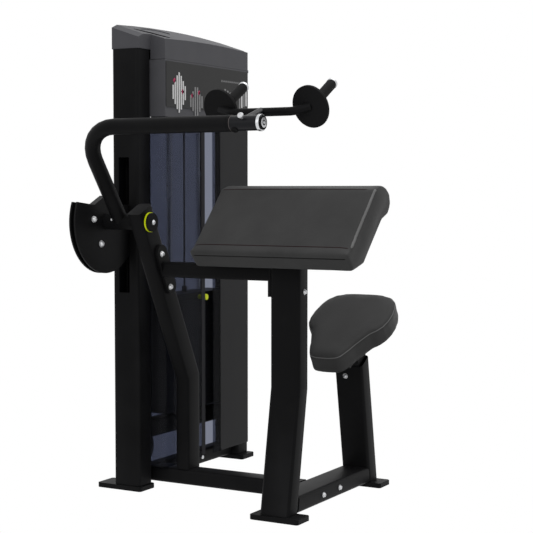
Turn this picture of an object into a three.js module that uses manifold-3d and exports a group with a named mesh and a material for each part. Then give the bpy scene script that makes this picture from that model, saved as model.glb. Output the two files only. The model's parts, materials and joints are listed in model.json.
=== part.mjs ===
// A seated triceps press machine: a weight tower, a lever with a cable cam, an arm pad and a saddle seat.
// Lengths are in millimetres and +Z is up. While it is built, X runs along the tower's width from its
// left column, -Y runs from the tower toward the user's side of the frame, and the floor is at zero.
// The user sits on the +X side of the arm pad and presses the handles away, toward -X and down.
import * as THREE from 'three';
import { mergeVertices } from 'three/addons/utils/BufferGeometryUtils.js';
import Module from 'manifold-3d';

const wasm = await Module();
wasm.setup();

// Clearances and overruns shared by all pieces
const seatGap = 0.3;
const runningGap = 0.6;
const overrun = 2;
const kneeWeld = 0.1;
const farReach = 4000;

// Tube and plate stock
const tubeNarrow = 50;
const tubeDeep = 100;
const tubeWide = 75;
const tubeWall = 3;
const tubeCorner = 10;
const plateStock = 10;
const footStock = 16;
const sheet = 4;

// Main heights
const pivotHeight = 876;
const highPulleyHeight = 1318;

// Tower
const beamHeight = 50;
const pulleyDrop = 62;
const towerWidth = 691;
const columnWidth = 75;
const columnLeft = -5;
const columnInside = columnLeft + columnWidth;
const columnTop = highPulleyHeight + pulleyDrop + beamHeight;
const slotBelow = 233;
const slotAbove = 205;
const slotFarTrim = 3;
const slotLow = pivotHeight - slotBelow;
const slotHigh = pivotHeight + slotAbove;
const slotWidth = 40;
const slotMiddle = -45;
const footLength = 165;
const footWidth = 78;
const footChamfer = 6;
const towerFootWidth = 86;
const towerFootLength = 172;
const leftFootFront = -107;
const rightFootFront = -124;

// Shroud, shields and covers
const coverFront = -150;
const facetFront = 80;
const shroudDepth = 216;
const shroudBottom = columnTop - shroudDepth;
const shieldDrop = 10;
const seamDrop = 32;
const shroudSeam = columnTop - seamDrop;
const seamGap = 2;
const shroudRise = 70;
const shroudBackTop = columnTop + shroudRise;
const crownRise = 10;
const shoulderRun = 28;
const shoulderRise = 12;
const topFallShare = 1 / 3;
const shroudLip = 2;
const recessLength = 150;
const recessDepth = 62;
const recessSink = 3;
const placardInset = 4;
const placardMargin = 32;
const placardBottom = shroudBottom + placardMargin;
const placardTop = shroudSeam - placardInset;
const placardThickness = 2;
const shieldBottom = 64;
const selectorSlotStart = 320;
const selectorSlotWide = 55;
const selectorSlotEnd = selectorSlotStart + selectorSlotWide;
const coverSplit = 421;
const rearShieldStart = 112;
const rearShieldBottom = 40;

// Weight stack
const stackCentre = 345;
const rodSpread = 95;
const rodBeamRise = 12;
const rodBeamHeight = 36;
const rodBeamBottom = shroudBottom + rodBeamRise;
const rodRadius = 10.5;
const rodLine = -50;
const plateHalfWidth = 200;
const plateFront = -108;
const plateBack = -16;
const stackBottom = 228;
const plateCount = 12;
const plateHeight = 31;
const plateSeam = 1;
const headHeight = 24;
const selectorRadius = 9;
const supportBottom = 152;
const supportHeight = 60;
const bumperRadius = 24;
const knobRadius = 10.5;
const knobReach = 34;
const knobShare = 0.35;
const pinRadius = 4;
const rodSocket = 20;

// Cable and pulleys
const cableRadius = 3;
const camPitch = 151;
const pulleyPitch = 53;
const upperPitch = 35;
const flangeLip = 6;
const pulleyHalf = 8;
const pulleyGroove = 4.5;
const axleRadius = 8;
const cheekThickness = 5;
const cheekHalf = 20;
const lowPulleyHeight = 122;

// Lever, measured from its pivot
const pivotX = -122;
const camRim = 163;
const camHalf = 12;
const camFlange = 6;
const camStart = 157;
const camEnd = 378;
const fullTurn = 360;
const cableClearTurn = 4;
const camBoss = 82;
const camBossStart = 40;
const camBossEnd = 94;
const camNotch = [-64, 54];
const shaftRadius = 12;
const hubRadius = 25;
const hubStart = -172;
const leverRadius = 24;
const leverLine = -118;
const leverCornerX = -202;
const leverCornerZ = 287;
const leverBend = 120;
const leverEnd = -636;
const spindleRadius = 22;
const spindleStart = -644;
const spindleEnd = -733;
const spindleCore = 14;
const knurlEnd = -743;
const spindleCap = -747;

const ringRadius = 31;
const ringBore = 22;
const ringThickness = 5;
const capThickness = 8;
const boltRadius = 8;

// Handles, measured from the spindle's line
const handleMiddle = -674;
const handleSpread = 149;
const barRadius = 12.5;
const barHalf = 101;
const barOut = 115;
const barUp = 36;
const barBendRadius = 40;
const armRadius = 14;
const discOut = 136;
const discUp = 49;
const discRadius = 62;
const discHalf = 5.5;
const discYaw = -11;
const discPitch = 19;
const gripRadius = 15;
const gripLength = 146;
const gripRise = 30;

// Frame under the pads
const frameMiddle = -674;
const strutCentre = 132;
const strutDepth = 50;
const strutBack = -175;
const strutKnee = 363;
const strutReach = 45;
const postWidth = 60;
const postCentre = -40;
const postKnee = 381;
const postLean = 10;
const postRise = 24;
const postTop = pivotHeight + postRise;
const flangeBoltSpacing = 118;
const flangeHalf = 26;
const beamFall = 174;
const beamBottom = pivotHeight - beamFall;
const flangeBelow = 47;
const flangeAbove = 50;
const postFlangeLow = beamBottom - flangeBelow;
const postFlangeHigh = beamBottom + flangeAbove;
const beamTall = 48;
const flangeThickness = 10;
const seatPostFoot = 458;
const seatPostHead = 388;
const seatPostTop = 418;
const middleFootLeft = -150;
const seatFootLeft = 425;
const frontFootFront = -762;
const seatFootFront = -762;

// Pads
const armPadLength = 538;
const armPadBack = -400;
const seatTilt = 30;
const seatTopX = 364;
const seatTopZ = 560;
const seatThickness = 68;
const seatLength = 348;
const seatShares = [
  [-0.61, 0.05], [-0.6, 0.12], [-0.575, 0.152], [-0.54, 0.172], [-0.46, 0.205], [-0.39, 0.225], [-0.3, 0.262],
  [-0.21, 0.3], [-0.16, 0.348], [-0.09, 0.384], [0, 0.402], [0.1, 0.402], [0.21, 0.384], [0.295, 0.354],
  [0.365, 0.288], [0.4, 0.19], [0.412, 0.07],
];
const seatWaist = 1.5;
const cushionRound = 12;
const boardThickness = 14;
const boardHalf = 55;
const boardFrontShare = 0.46;
const boardRearShare = 0.28;
const armPadLeft = -175;
const padClear = 44;
const armPadLow = beamBottom + padClear;
const armPadWide = 290;
const armPadTall = 242;
const armPadRound = 6;
const domeRiseShare = 0.62;
const domeWasherShare = 0.22;
const domeHeadShare = 0.8;
const keeperShare = 1.6;
const knobCollarShare = 0.7;
const armPadShares = [
  [0.742, 0.996], [0.63, 0.955], [0.087, 0.268], [0.005, 0.21], [0.035, 0.149], [0.14, 0.01],
  [0.383, 0.087], [0.801, 0.587], [0.93, 0.645], [0.985, 0.72], [1, 0.79], [0.98, 0.9],
  [0.9, 0.97], [0.82, 1],
];
const armPadUnderStart = 6;
const armPadBoardFromShare = 0.04;
const armPadBoardToShare = 0.9;
const armPadBoardHalf = 150;

// Facets and steps of round forms
const fineFacets = 32;
const rodFacets = 24;
const armFacets = 20;
const pinFacets = 16;
const smallFacets = 12;
const cableFacets = 8;
const discFacets = 40;
const camFacets = 28;
const ringFacets = 16;
const flangeFacets = 6;
const domeSteps = 5;
const bendSteps = 8;
const barBendSteps = 4;
const camArcSteps = 4;
const lowArcSteps = 12;
const upperArcSteps = 6;
const cushionSteps = 3;
const quarterTurn = 90;
const halfTurn = 180;

const degrees = Math.PI / 180;
const columnMiddle = -tubeDeep / 2;
const leftColumn = columnLeft + columnWidth / 2;
const rightColumn = towerWidth - leftColumn;

// Turns a closed geometry into a solid that can be joined and cut.
function solid(geometry) {
  geometry.deleteAttribute('normal');
  geometry.deleteAttribute('uv');
  const merged = mergeVertices(geometry);
  const vertProperties = new Float32Array(merged.attributes.position.array);
  const triVerts = new Uint32Array(merged.index.array);
  return new wasm.Manifold(new wasm.Mesh({ numProp: 3, vertProperties, triVerts }));
}

// Turns a solid back into a flat-shaded geometry.
function surface(body) {
  const mesh = body.getMesh();
  const geometry = new THREE.BufferGeometry();
  geometry.setAttribute('position', new THREE.BufferAttribute(new Float32Array(mesh.vertProperties), 3));
  geometry.setIndex(new THREE.BufferAttribute(new Uint32Array(mesh.triVerts), 1));
  const flat = geometry.toNonIndexed();
  flat.computeVertexNormals();
  return flat;
}

// Names a piece, gives it its own material and hangs it in its group.
function piece(group, name, body, look, place = {}) {
  const mesh = new THREE.Mesh(surface(body), new THREE.MeshStandardMaterial(look));
  mesh.name = name;
  mesh.position.set(place.x ?? 0, place.y ?? 0, place.z ?? 0);
  group.add(mesh);
  return mesh;
}

const satinBlack = { color: 0x1c1c1e, roughness: 0.42, metalness: 0.3 };
const shroudGrey = { color: 0x444447, roughness: 0.55, metalness: 0 };
const coverGrey = { color: 0x3a3a3c, roughness: 0.5, metalness: 0 };
const placardGrey = { color: 0x383837, roughness: 0.5, metalness: 0 };
const tintedSheet = { color: 0x565b66, roughness: 0.1, metalness: 0, transparent: true, opacity: 0.5 };
const steelBright = { color: 0xc2c4c6, roughness: 0.25, metalness: 1 };
const plateBlack = { color: 0x202022, roughness: 0.5, metalness: 0.4 };
const rubberBlack = { color: 0x161617, roughness: 0.85, metalness: 0 };
const limeYellow = { color: 0xd7eb1e, roughness: 0.4, metalness: 0 };
const cableBlack = { color: 0x101011, roughness: 0.4, metalness: 0 };
const padGrey = { color: 0x3e3e3e, roughness: 0.6, metalness: 0 };
const boardBlack = { color: 0x1a1a1a, roughness: 0.8, metalness: 0 };

// A box between two corners.
function box(low, high) {
  const size = high.map((value, axis) => value - low[axis]);
  const geometry = new THREE.BoxGeometry(...size);
  geometry.translate(...low.map((value, axis) => value + size[axis] / 2));
  return solid(geometry);
}

// A rectangle with round corners, centred on its origin.
function roundRectangle(width, depth, corner, target = new THREE.Shape()) {
  const x = width / 2 - corner;
  const y = depth / 2 - corner;
  target.moveTo(-x, -y - corner);
  target.absarc(x, -y, corner, -Math.PI / 2, 0, false);
  target.absarc(x, y, corner, 0, Math.PI / 2, false);
  target.absarc(-x, y, corner, Math.PI / 2, Math.PI, false);
  target.absarc(-x, -y, corner, Math.PI, 1.5 * Math.PI, false);
  target.closePath();
  return target;
}

// A straight prism of an outline, along +Z from its own origin.
function prism(shape, length, curveSegments = 2) {
  return solid(new THREE.ExtrudeGeometry(shape, { depth: length, bevelEnabled: false, curveSegments }));
}

// An outline drawn in X and Z, with its thickness along -Y from the given line.
function standingPrism(shape, line, thickness, curveSegments = 4) {
  const geometry = new THREE.ExtrudeGeometry(shape, { depth: thickness, bevelEnabled: false, curveSegments });
  geometry.rotateX(Math.PI / 2);
  geometry.translate(0, line, 0);
  return solid(geometry);
}

// A round bar between two points.
function bar(from, to, radius, sides = 24, endRadius = radius) {
  const start = new THREE.Vector3(...from);
  const end = new THREE.Vector3(...to);
  const along = end.clone().sub(start);
  const geometry = new THREE.CylinderGeometry(endRadius, radius, along.length(), sides);
  const turn = new THREE.Quaternion().setFromUnitVectors(new THREE.Vector3(0, 1, 0), along.normalize());
  geometry.applyQuaternion(turn);
  geometry.translate(...start.add(end).multiplyScalar(0.5).toArray());
  return solid(geometry);
}

// A square tube with round corners, along +Z, open at both ends.
function squareTube(width, depth, length, wall = tubeWall) {
  const shape = roundRectangle(width, depth, tubeCorner);
  const hollow = roundRectangle(width - 2 * wall, depth - 2 * wall, tubeCorner - wall, new THREE.Path());
  shape.holes.push(hollow);
  return prism(shape, length);
}

// A square tube along X or Y between two ends, whose section is given as width across and height.
function levelTube(axis, from, to, across, low, width, height) {
  const alongX = axis === 'x';
  const section = alongX ? squareTube(height, width, to - from) : squareTube(width, height, to - from);
  const turned = section.rotate(alongX ? [0, 90, 0] : [-90, 0, 0]);
  const middle = low + height / 2;
  return alongX ? turned.translate([from, across, middle]) : turned.translate([across, from, middle]);
}

// A half space's cutter: all that lies beyond a line in the X and Z plane.
function beyond(point, direction) {
  const half = farReach / 2;
  const block = box([0, -half, -half], [half, half, half]);
  const angle = -Math.atan2(direction[1], direction[0]) / degrees;
  return block.rotate([0, angle, 0]).translate([point[0], 0, point[1]]);
}

// A bar with round corners in the X and Z plane, with one mitred knee and long ends.
function kneedBar(points, width, depth, corner) {
  const [foot, knee, head] = points;
  const legs = [[foot, knee], [knee, head]].map(([from, to]) => {
    const run = [to[0] - from[0], to[1] - from[1]];
    const length = Math.hypot(...run);
    const lean = Math.atan2(run[0], run[1]) / degrees;
    const leg = prism(roundRectangle(width, depth, corner), length + 2 * width).translate([0, 0, -width]);
    const body = leg.rotate([0, lean, 0]).translate([from[0], 0, from[1]]);
    return { body, unit: [run[0] / length, run[1] / length] };
  });
  const sum = [legs[0].unit[0] + legs[1].unit[0], legs[0].unit[1] + legs[1].unit[1]];
  const mitre = sum.map((value) => value / Math.hypot(...sum));
  const past = (sign) => [knee[0] + sign * kneeWeld * mitre[0], knee[1] + sign * kneeWeld * mitre[1]];
  const lower = legs[0].body.subtract(beyond(past(1), mitre));
  const upper = legs[1].body.subtract(beyond(past(-1), [-mitre[0], -mitre[1]]));
  return lower.add(upper);
}

// A square tube in the X and Z plane with one mitred knee.
function kneedTube(points, width, depth) {
  const outer = kneedBar(points, width, depth, tubeCorner);
  const inner = kneedBar(points, width - 2 * tubeWall, depth - 2 * tubeWall, tubeCorner - tubeWall);
  return outer.subtract(inner);
}

// A path through hand-placed stations, stepped only at those stations.
class StationPath extends THREE.Curve {
  constructor(stations) {
    super();
    this.stations = stations;
  }
  getUtoTmapping(share) {
    return share;
  }
  getPoint(share) {
    const along = share * (this.stations.length - 1);
    const index = Math.min(Math.floor(along), this.stations.length - 2);
    return this.stations[index].clone().lerp(this.stations[index + 1], along - index);
  }
}

// A corner's round stretch between two straight runs, as stations.
function roundCorner(before, corner, after, radius, steps) {
  const inward = before.clone().sub(corner).normalize();
  const outward = after.clone().sub(corner).normalize();
  const half = inward.angleTo(outward) / 2;
  const trim = radius / Math.tan(half);
  const middle = inward.clone().add(outward).normalize().multiplyScalar(radius / Math.sin(half)).add(corner);
  const start = inward.clone().multiplyScalar(trim).add(corner).sub(middle);
  const end = outward.clone().multiplyScalar(trim).add(corner).sub(middle);
  const axis = start.clone().cross(end).normalize();
  const sweep = start.angleTo(end);
  const station = (_, step) => start.clone().applyAxisAngle(axis, (sweep * step) / steps).add(middle);
  return Array.from({ length: steps + 1 }, station);
}

// A round tube or rod along stations.
function roundSweep(stations, radius, sides) {
  const shape = new THREE.Shape();
  shape.absarc(0, 0, radius, 0, 2 * Math.PI, false);
  const extrudePath = new StationPath(stations);
  const steps = stations.length - 1;
  return solid(
    new THREE.ExtrudeGeometry(shape, { extrudePath, steps, curveSegments: sides / 2, bevelEnabled: false }),
  );
}

const point = (x, y, z) => new THREE.Vector3(x, y, z);

// A foot plate with small cut corners, lying on the floor.
function footPlate(left, front, width = footWidth, length = footLength) {
  const shape = new THREE.Shape();
  const [x0, x1, y0, y1] = [left, left + width, front, front + length];
  shape.moveTo(x0 + footChamfer, y0);
  shape.lineTo(x1 - footChamfer, y0);
  shape.lineTo(x1, y0 + footChamfer);
  shape.lineTo(x1, y1 - footChamfer);
  shape.lineTo(x1 - footChamfer, y1);
  shape.lineTo(x0 + footChamfer, y1);
  shape.lineTo(x0, y1 - footChamfer);
  shape.lineTo(x0, y0 + footChamfer);
  shape.closePath();
  return prism(shape, footStock).translate([0, 0, plateStock - footStock]);
}

const standing = plateStock + seatGap;
const machine = new THREE.Group();
const tower = new THREE.Group();
machine.add(tower);

// The two columns; the left one has the cam's slot through both walls and the cable's opening low down.
function towerColumns() {
  const column = squareTube(columnWidth, tubeDeep, columnTop - standing);
  const [slotFront, slotBack] = [-1, 1].map((side) => slotMiddle + (side * slotWidth) / 2 - columnMiddle);
  const nearSlot = box([-columnWidth, slotFront, slotLow - standing], [0, slotBack, slotHigh - standing]);
  const farSlot = box(
    [0, slotFront, slotLow - standing], [columnWidth, slotBack - slotFarTrim, slotHigh - standing],
  );
  const pulleyWindow = box(
    [0, rodLine - cheekHalf - columnMiddle, beamHeight + plateStock - standing],
    [
      columnWidth,
      rodLine + cheekHalf - columnMiddle,
      lowPulleyHeight + pulleyPitch + flangeLip + plateStock - standing,
    ],
  );
  const left = column.subtract(nearSlot).subtract(farSlot).subtract(pulleyWindow);
  piece(tower, 'tower_left_column', left, satinBlack, { x: leftColumn, y: columnMiddle, z: standing });
  piece(tower, 'tower_right_column', column, satinBlack, { x: rightColumn, y: columnMiddle, z: standing });
  piece(tower, 'tower_left_foot', footPlate(
    leftColumn - towerFootWidth / 2, leftFootFront, towerFootWidth, towerFootLength,
  ), satinBlack);
  piece(tower, 'tower_right_foot', footPlate(
    rightColumn - towerFootWidth / 2, rightFootFront, towerFootWidth,
  ), satinBlack);
}

// The cross beams between the columns.
function towerBeams() {
  const from = columnInside + seatGap;
  const to = towerWidth - columnInside - seatGap;
  const base = levelTube('x', from, to, rodLine, plateStock, tubeNarrow, beamHeight);
  piece(tower, 'tower_base_beam', base, satinBlack);
  const top = levelTube('x', from, to, rodLine, columnTop - beamHeight, tubeNarrow, beamHeight);
  piece(tower, 'tower_top_beam', top, satinBlack);
}

// The plan line of the front covers: two facets and a flat face, drawn at an offset inside the real face.
function coverPlan(offset) {
  const nearY = -tubeDeep + tubeCorner;
  const run = facetFront - columnInside - seatGap;
  const fall = nearY - coverFront;
  const slant = Math.hypot(run, fall);
  const nearX = columnInside + seatGap + (offset * slant) / fall;
  const frontX = facetFront + (offset * (slant - run)) / fall;
  const mirror = (x) => towerWidth - x;
  return [
    [nearX, nearY],
    [frontX, coverFront + offset],
    [mirror(frontX), coverFront + offset],
    [mirror(nearX), nearY],
  ];
}

// A sheet that follows the front covers' plan line, cut to a stretch of the width.
function coverSheet(from, to, low, high) {
  const shape = new THREE.Shape();
  const outline = [...coverPlan(0), ...coverPlan(sheet).reverse()];
  outline.forEach(([x, y], index) => (index ? shape.lineTo(x, y) : shape.moveTo(x, y)));
  shape.closePath();
  const stretch = box([from, -farReach, low], [to, farReach, high]);
  return prism(shape, high - low).translate([0, 0, low]).intersect(stretch);
}

// The crowned roof line across the tower, falling toward the front, lowered by a drop.
function roofBody(drop, inset) {
  const end = towerWidth / 2 + shroudLip - inset;
  const half = end - shoulderRun;
  const radius = (half * half + crownRise * crownRise) / (2 * crownRise);
  const sweep = Math.asin(half / radius);
  const crown = shoulderRise + crownRise - radius;
  const shape = new THREE.Shape();
  shape.moveTo(-end, -columnTop);
  shape.lineTo(end, -columnTop);
  shape.lineTo(end, 0);
  shape.absarc(0, crown, radius, Math.PI / 2 - sweep, Math.PI / 2 + sweep, false);
  shape.lineTo(-end, 0);
  shape.closePath();
  const geometry = new THREE.ExtrudeGeometry(
    shape, { depth: farReach, bevelEnabled: false, curveSegments: 10 },
  );
  geometry.translate(0, 0, -farReach / 2);
  geometry.rotateX(Math.PI / 2);
  const shear = new THREE.Matrix4().makeShear(0, 0, 0, topFallShare, 0, 0);
  geometry.applyMatrix4(shear);
  geometry.translate(towerWidth / 2, 0, shroudBackTop - drop);
  return solid(geometry);
}

// The plan of the whole shroud: the columns' tops and the front covers, drawn in by an inset.
function shroudPlan(inset) {
  const shape = new THREE.Shape();
  const side = inset - shroudLip;
  const front = coverPlan(inset);
  const outline = [
    [side, shroudLip - inset],
    [side, -tubeDeep - shroudLip + inset],
    [front[0][0], -tubeDeep - shroudLip + inset],
    front[1],
    front[2],
    [front[3][0], -tubeDeep - shroudLip + inset],
    [towerWidth - side, -tubeDeep - shroudLip + inset],
    [towerWidth - side, shroudLip - inset],
  ];
  outline.forEach(([x, y], index) => (index ? shape.lineTo(x, y) : shape.moveTo(x, y)));
  shape.closePath();
  return shape;
}

// The cap over the tower's top: a thin crowned shell, open below, that stands on the columns.
function topShroud() {
  const low = shroudSeam + seamGap;
  const height = shroudBackTop + 2 * (crownRise + shoulderRise) - low;
  const outer = prism(shroudPlan(0), height).translate([0, 0, low]).intersect(roofBody(0, 0));
  const inner = prism(shroudPlan(tubeWall + seatGap), height + overrun).translate([0, 0, low - overrun]);
  const hollow = inner.intersect(roofBody(sheet, tubeWall));
  const seat = columnTop + seatGap;
  const back = shroudLip + overrun;
  const leftSeat = box([-columnWidth, -tubeDeep - back, low - overrun], [columnInside + seatGap, back, seat]);
  const rightSeat = leftSeat.translate([towerWidth - seatGap, 0, 0]);
  const recess = new THREE.Shape();
  recess.absellipse(0, 0, recessLength / 2, recessDepth / 2, 0, 2 * Math.PI, false);
  const sunk = prism(recess, height, 14).translate([towerWidth / 4, -tubeDeep / 2, low]);
  const dish = sunk.subtract(roofBody(recessSink, -overrun));
  const shell = outer.subtract(hollow).subtract(leftSeat).subtract(rightSeat).subtract(dish);
  piece(tower, 'top_shroud', shell, shroudGrey);
}

// The covers on the tower's front, its see-through shields and the sign's plain plate.
function frontCovers() {
  const end = towerWidth;
  piece(tower, 'shroud_front_panel', coverSheet(0, end, shroudBottom, shroudSeam), shroudGrey);
  const plateLeft = facetFront + placardInset;
  const face = coverFront - seatGap;
  const plate = box(
    [plateLeft, face - placardThickness, placardBottom],
    [towerWidth - plateLeft, face, placardTop],
  );
  piece(tower, 'placard', plate, placardGrey);
  const shieldTop = shroudBottom - shieldDrop;
  const leftShield = coverSheet(0, selectorSlotStart, shieldBottom, shieldTop);
  piece(tower, 'front_left_shield', leftShield, tintedSheet);
  const rightShield = coverSheet(selectorSlotEnd, coverSplit - seatGap, shieldBottom, shieldTop);
  piece(tower, 'front_right_shield', rightShield, tintedSheet);
  piece(tower, 'right_front_cover', coverSheet(coverSplit, end, shieldBottom, shieldTop), coverGrey);
  const rearEnd = towerWidth - columnInside - seatGap;
  const rear = box(
    [rearShieldStart, -tubeCorner - sheet, rearShieldBottom], [rearEnd, -tubeCorner, shieldTop],
  );
  piece(tower, 'rear_shield', rear, tintedSheet);
}

towerColumns();
towerBeams();
topShroud();
frontCovers();

const stack = new THREE.Group();
stack.position.set(stackCentre, rodLine, 0);
machine.add(stack);

// A plate of the stack, with holes for the two guide rods and the selector rod.
function stackPlate(height) {
  const low = [-plateHalfWidth, plateFront - rodLine, 0];
  const high = [plateHalfWidth, plateBack - rodLine, height];
  const through = (x, radius) => bar([x, 0, -overrun], [x, 0, height + overrun], radius, pinFacets);
  const rodHole = rodRadius + runningGap;
  return box(low, high).subtract(through(-rodSpread, rodHole)).subtract(through(rodSpread, rodHole));
}

const headBottom = stackBottom + plateCount * plateHeight;
const headTop = headBottom + headHeight;
const knobHeight = headBottom + headHeight * knobShare;

// The resting plates as one pile, with a groove at each seam between two plates.
function restingPlates() {
  const height = plateCount * plateHeight;
  const selectorHole = bar([0, 0, -overrun], [0, 0, height + overrun], selectorRadius + runningGap, pinFacets);
  const [front, back] = [plateFront - rodLine, plateBack - rodLine];
  const outer = box([-farReach, -farReach, 0], [farReach, farReach, plateSeam]);
  const core = box(
    [-plateHalfWidth + plateSeam, front + plateSeam, -overrun],
    [plateHalfWidth - plateSeam, back - plateSeam, plateSeam + overrun],
  );
  const groove = outer.subtract(core);
  let pile = stackPlate(height - plateSeam).subtract(selectorHole);
  for (let index = 1; index < plateCount; index += 1) {
    pile = pile.subtract(groove.translate([0, 0, index * plateHeight]));
  }
  piece(stack, 'weight_plates', pile, plateBlack, { z: stackBottom });
}

// The head plate, its selector rod that reaches down through the resting plates, and the cable's socket.
function headPlate() {
  const pinLine = knobHeight - headBottom;
  const pinHole = bar([0, -tubeDeep, pinLine], [0, 0, pinLine], pinRadius + runningGap, smallFacets);
  const socketTop = headHeight + rodSocket;
  const socket = bar([0, 0, headHeight - overrun], [0, 0, socketTop], selectorRadius, pinFacets);
  const rod = bar([0, 0, stackBottom - headBottom + plateHeight], [0, 0, overrun], selectorRadius, pinFacets);
  const body = stackPlate(headHeight).add(socket).add(rod).subtract(pinHole);
  piece(stack, 'stack_head_plate', body, plateBlack, { z: headBottom });
}

// The selector pin with its collar and knob, pushed in from the front.
function selectorPin() {
  const front = plateFront - rodLine - seatGap;
  const knobFront = front - knobReach;
  const collar = bar([0, front, 0], [0, front - knobReach / 2, 0], knobRadius * knobCollarShare, armFacets);
  const knob = bar([0, front - knobReach / 2 + seatGap, 0], [0, knobFront, 0], knobRadius, rodFacets);
  const pin = bar([0, front - overrun, 0], [0, -rodRadius, 0], pinRadius, smallFacets);
  piece(stack, 'selector_pin', collar.add(knob).add(pin), limeYellow, { z: knobHeight });
}

// The guide rods, the beam that carries them and the stack, and its two bumpers.
function stackSupport() {
  const from = columnInside + seatGap;
  const to = towerWidth - columnInside - seatGap;
  const beam = levelTube('x', from, to, rodLine, supportBottom, tubeNarrow, supportHeight);
  const notchHalf = pulleyHalf + cheekThickness + plateSeam;
  const notchEnd = pivotX + camPitch + 2 * pulleyPitch + flangeLip + plateStock;
  const pulleyNotch = box([-farReach, rodLine - notchHalf, 0], [notchEnd, rodLine + notchHalf, columnTop]);
  piece(tower, 'stack_support_beam', beam.subtract(pulleyNotch), satinBlack);
  const supportTop = supportBottom + supportHeight;
  const rodTop = rodBeamBottom - seatGap;
  const cableHole = bar(
    [stackCentre, rodLine, 0], [stackCentre, rodLine, columnTop], 3 * cableRadius, pinFacets,
  );
  const upperFrom = stackCentre - rodSpread - tubeNarrow / 2;
  const rodBeam = levelTube('x', upperFrom, to, rodLine, rodBeamBottom, tubeNarrow, rodBeamHeight);
  piece(tower, 'rod_head_beam', rodBeam.subtract(cableHole), satinBlack);
  [['left', -1], ['right', 1]].forEach(([side, sign]) => {
    const x = sign * rodSpread;
    const rod = bar([x, 0, supportTop + seatGap], [x, 0, rodTop], rodRadius, armFacets);
    piece(stack, `guide_rod_${side}`, rod, steelBright);
    const hole = bar([x, 0, supportTop], [x, 0, stackBottom], rodRadius + seatGap, armFacets);
    const bumper = bar([x, 0, supportTop + seatGap], [x, 0, stackBottom - seatGap], bumperRadius, armFacets);
    piece(stack, `bumper_${side}`, bumper.subtract(hole), rubberBlack);
  });
}

// A grooved pulley, turning on its bracket's axle.
function pulley(pitch) {
  const groove = pitch - cableRadius - runningGap;
  const flange = pitch + flangeLip;
  const profile = [
    [axleRadius + runningGap, -pulleyHalf],
    [flange, -pulleyHalf],
    [groove, -pulleyGroove],
    [groove, pulleyGroove],
    [flange, pulleyHalf],
    [axleRadius + runningGap, pulleyHalf],
    [axleRadius + runningGap, -pulleyHalf],
  ].map(([radius, height]) => new THREE.Vector2(radius, height));
  return solid(new THREE.LatheGeometry(profile, fineFacets));
}

// A bracket with two cheeks and an axle, whose foot is at a height measured from the axle.
function pulleyBracket(footHeight, pitch) {
  const up = Math.sign(footHeight);
  const inside = pulleyHalf + runningGap;
  const outside = inside + cheekThickness;
  const [low, high] = [-up * cheekHalf, footHeight].sort((a, b) => a - b);
  const cheek = box([-cheekHalf, inside, low], [cheekHalf, outside, high]);
  const reach = pitch + flangeLip + runningGap;
  const [footLow, footHigh] = [up * reach, footHeight].sort((a, b) => a - b);
  const foot = box([-cheekHalf, -outside, footLow], [cheekHalf, outside, footHigh]);
  const axle = bar([0, -outside, 0], [0, outside, 0], axleRadius, pinFacets);
  return cheek.add(cheek.translate([0, -inside - outside, 0])).add(foot).add(axle);
}

const lowLine = pivotX + camPitch;
const riseLine = lowLine + 2 * pulleyPitch;
const lowFoot = beamHeight + plateStock + seatGap - lowPulleyHeight;
const highFoot = columnTop - beamHeight - seatGap - highPulleyHeight;
const pulleyPlaces = {
  low: [lowLine + pulleyPitch, lowPulleyHeight, lowFoot, pulleyPitch],
  upper_left: [riseLine + upperPitch, highPulleyHeight, highFoot, upperPitch],
  upper_middle: [stackCentre - upperPitch, highPulleyHeight, highFoot, upperPitch],
};

// The three pulleys and their brackets.
function pulleys() {
  Object.entries(pulleyPlaces).forEach(([name, [x, z, footHeight, pitch]]) => {
    const place = { x, y: rodLine, z };
    piece(tower, `pulley_${name}`, pulley(pitch), plateBlack, place);
    piece(tower, `pulley_bracket_${name}`, pulleyBracket(footHeight, pitch), satinBlack, place);
  });
}

// A stretch of cable round a pulley, from one angle to another, as stations.
function cableArc([x, z], radius, from, to, steps) {
  const station = (_, step) => {
    const angle = (from + ((to - from) * step) / steps) * degrees;
    return point(x + radius * Math.cos(angle), rodLine, z + radius * Math.sin(angle));
  };
  return Array.from({ length: steps + 1 }, station);
}

// The cable from the cam down to the low pulley, up to the upper pulleys and down to the stack.
function cable() {
  const { low, upper_left: upperLeft, upper_middle: upperMiddle } = pulleyPlaces;
  const route = [
    point(lowLine, rodLine, pivotHeight - seatGap),
    ...cableArc(low, pulleyPitch, halfTurn, fullTurn, lowArcSteps),
    ...cableArc(upperLeft, upperPitch, halfTurn, quarterTurn, upperArcSteps),
    ...cableArc(upperMiddle, upperPitch, quarterTurn, 0, upperArcSteps),
    point(stackCentre, rodLine, highPulleyHeight - cableRadius),
  ];
  piece(tower, 'cable_route', roundSweep(route, cableRadius, cableFacets), cableBlack);
  const top = highPulleyHeight - cableRadius - seatGap;
  const bottom = headTop + rodSocket + seatGap;
  const run = bar([0, 0, bottom], [0, 0, top], cableRadius, cableFacets);
  piece(stack, 'cable_stack_run', run, cableBlack);
}

restingPlates();
headPlate();
selectorPin();
stackSupport();
pulleys();
cable();

const frame = new THREE.Group();
machine.add(frame);
const lever = new THREE.Group();
lever.position.set(pivotX, 0, pivotHeight);
machine.add(lever);

// The cam's outline about the pivot: a long rim, a boss round the hub and a notch between them.
function camOutline(rim) {
  const shape = new THREE.Shape();
  shape.absarc(0, 0, rim, camStart * degrees, camEnd * degrees, false);
  shape.absarc(0, 0, camBoss, camBossStart * degrees, camBossEnd * degrees, false);
  shape.lineTo(...camNotch);
  shape.closePath();
  return shape;
}

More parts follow.
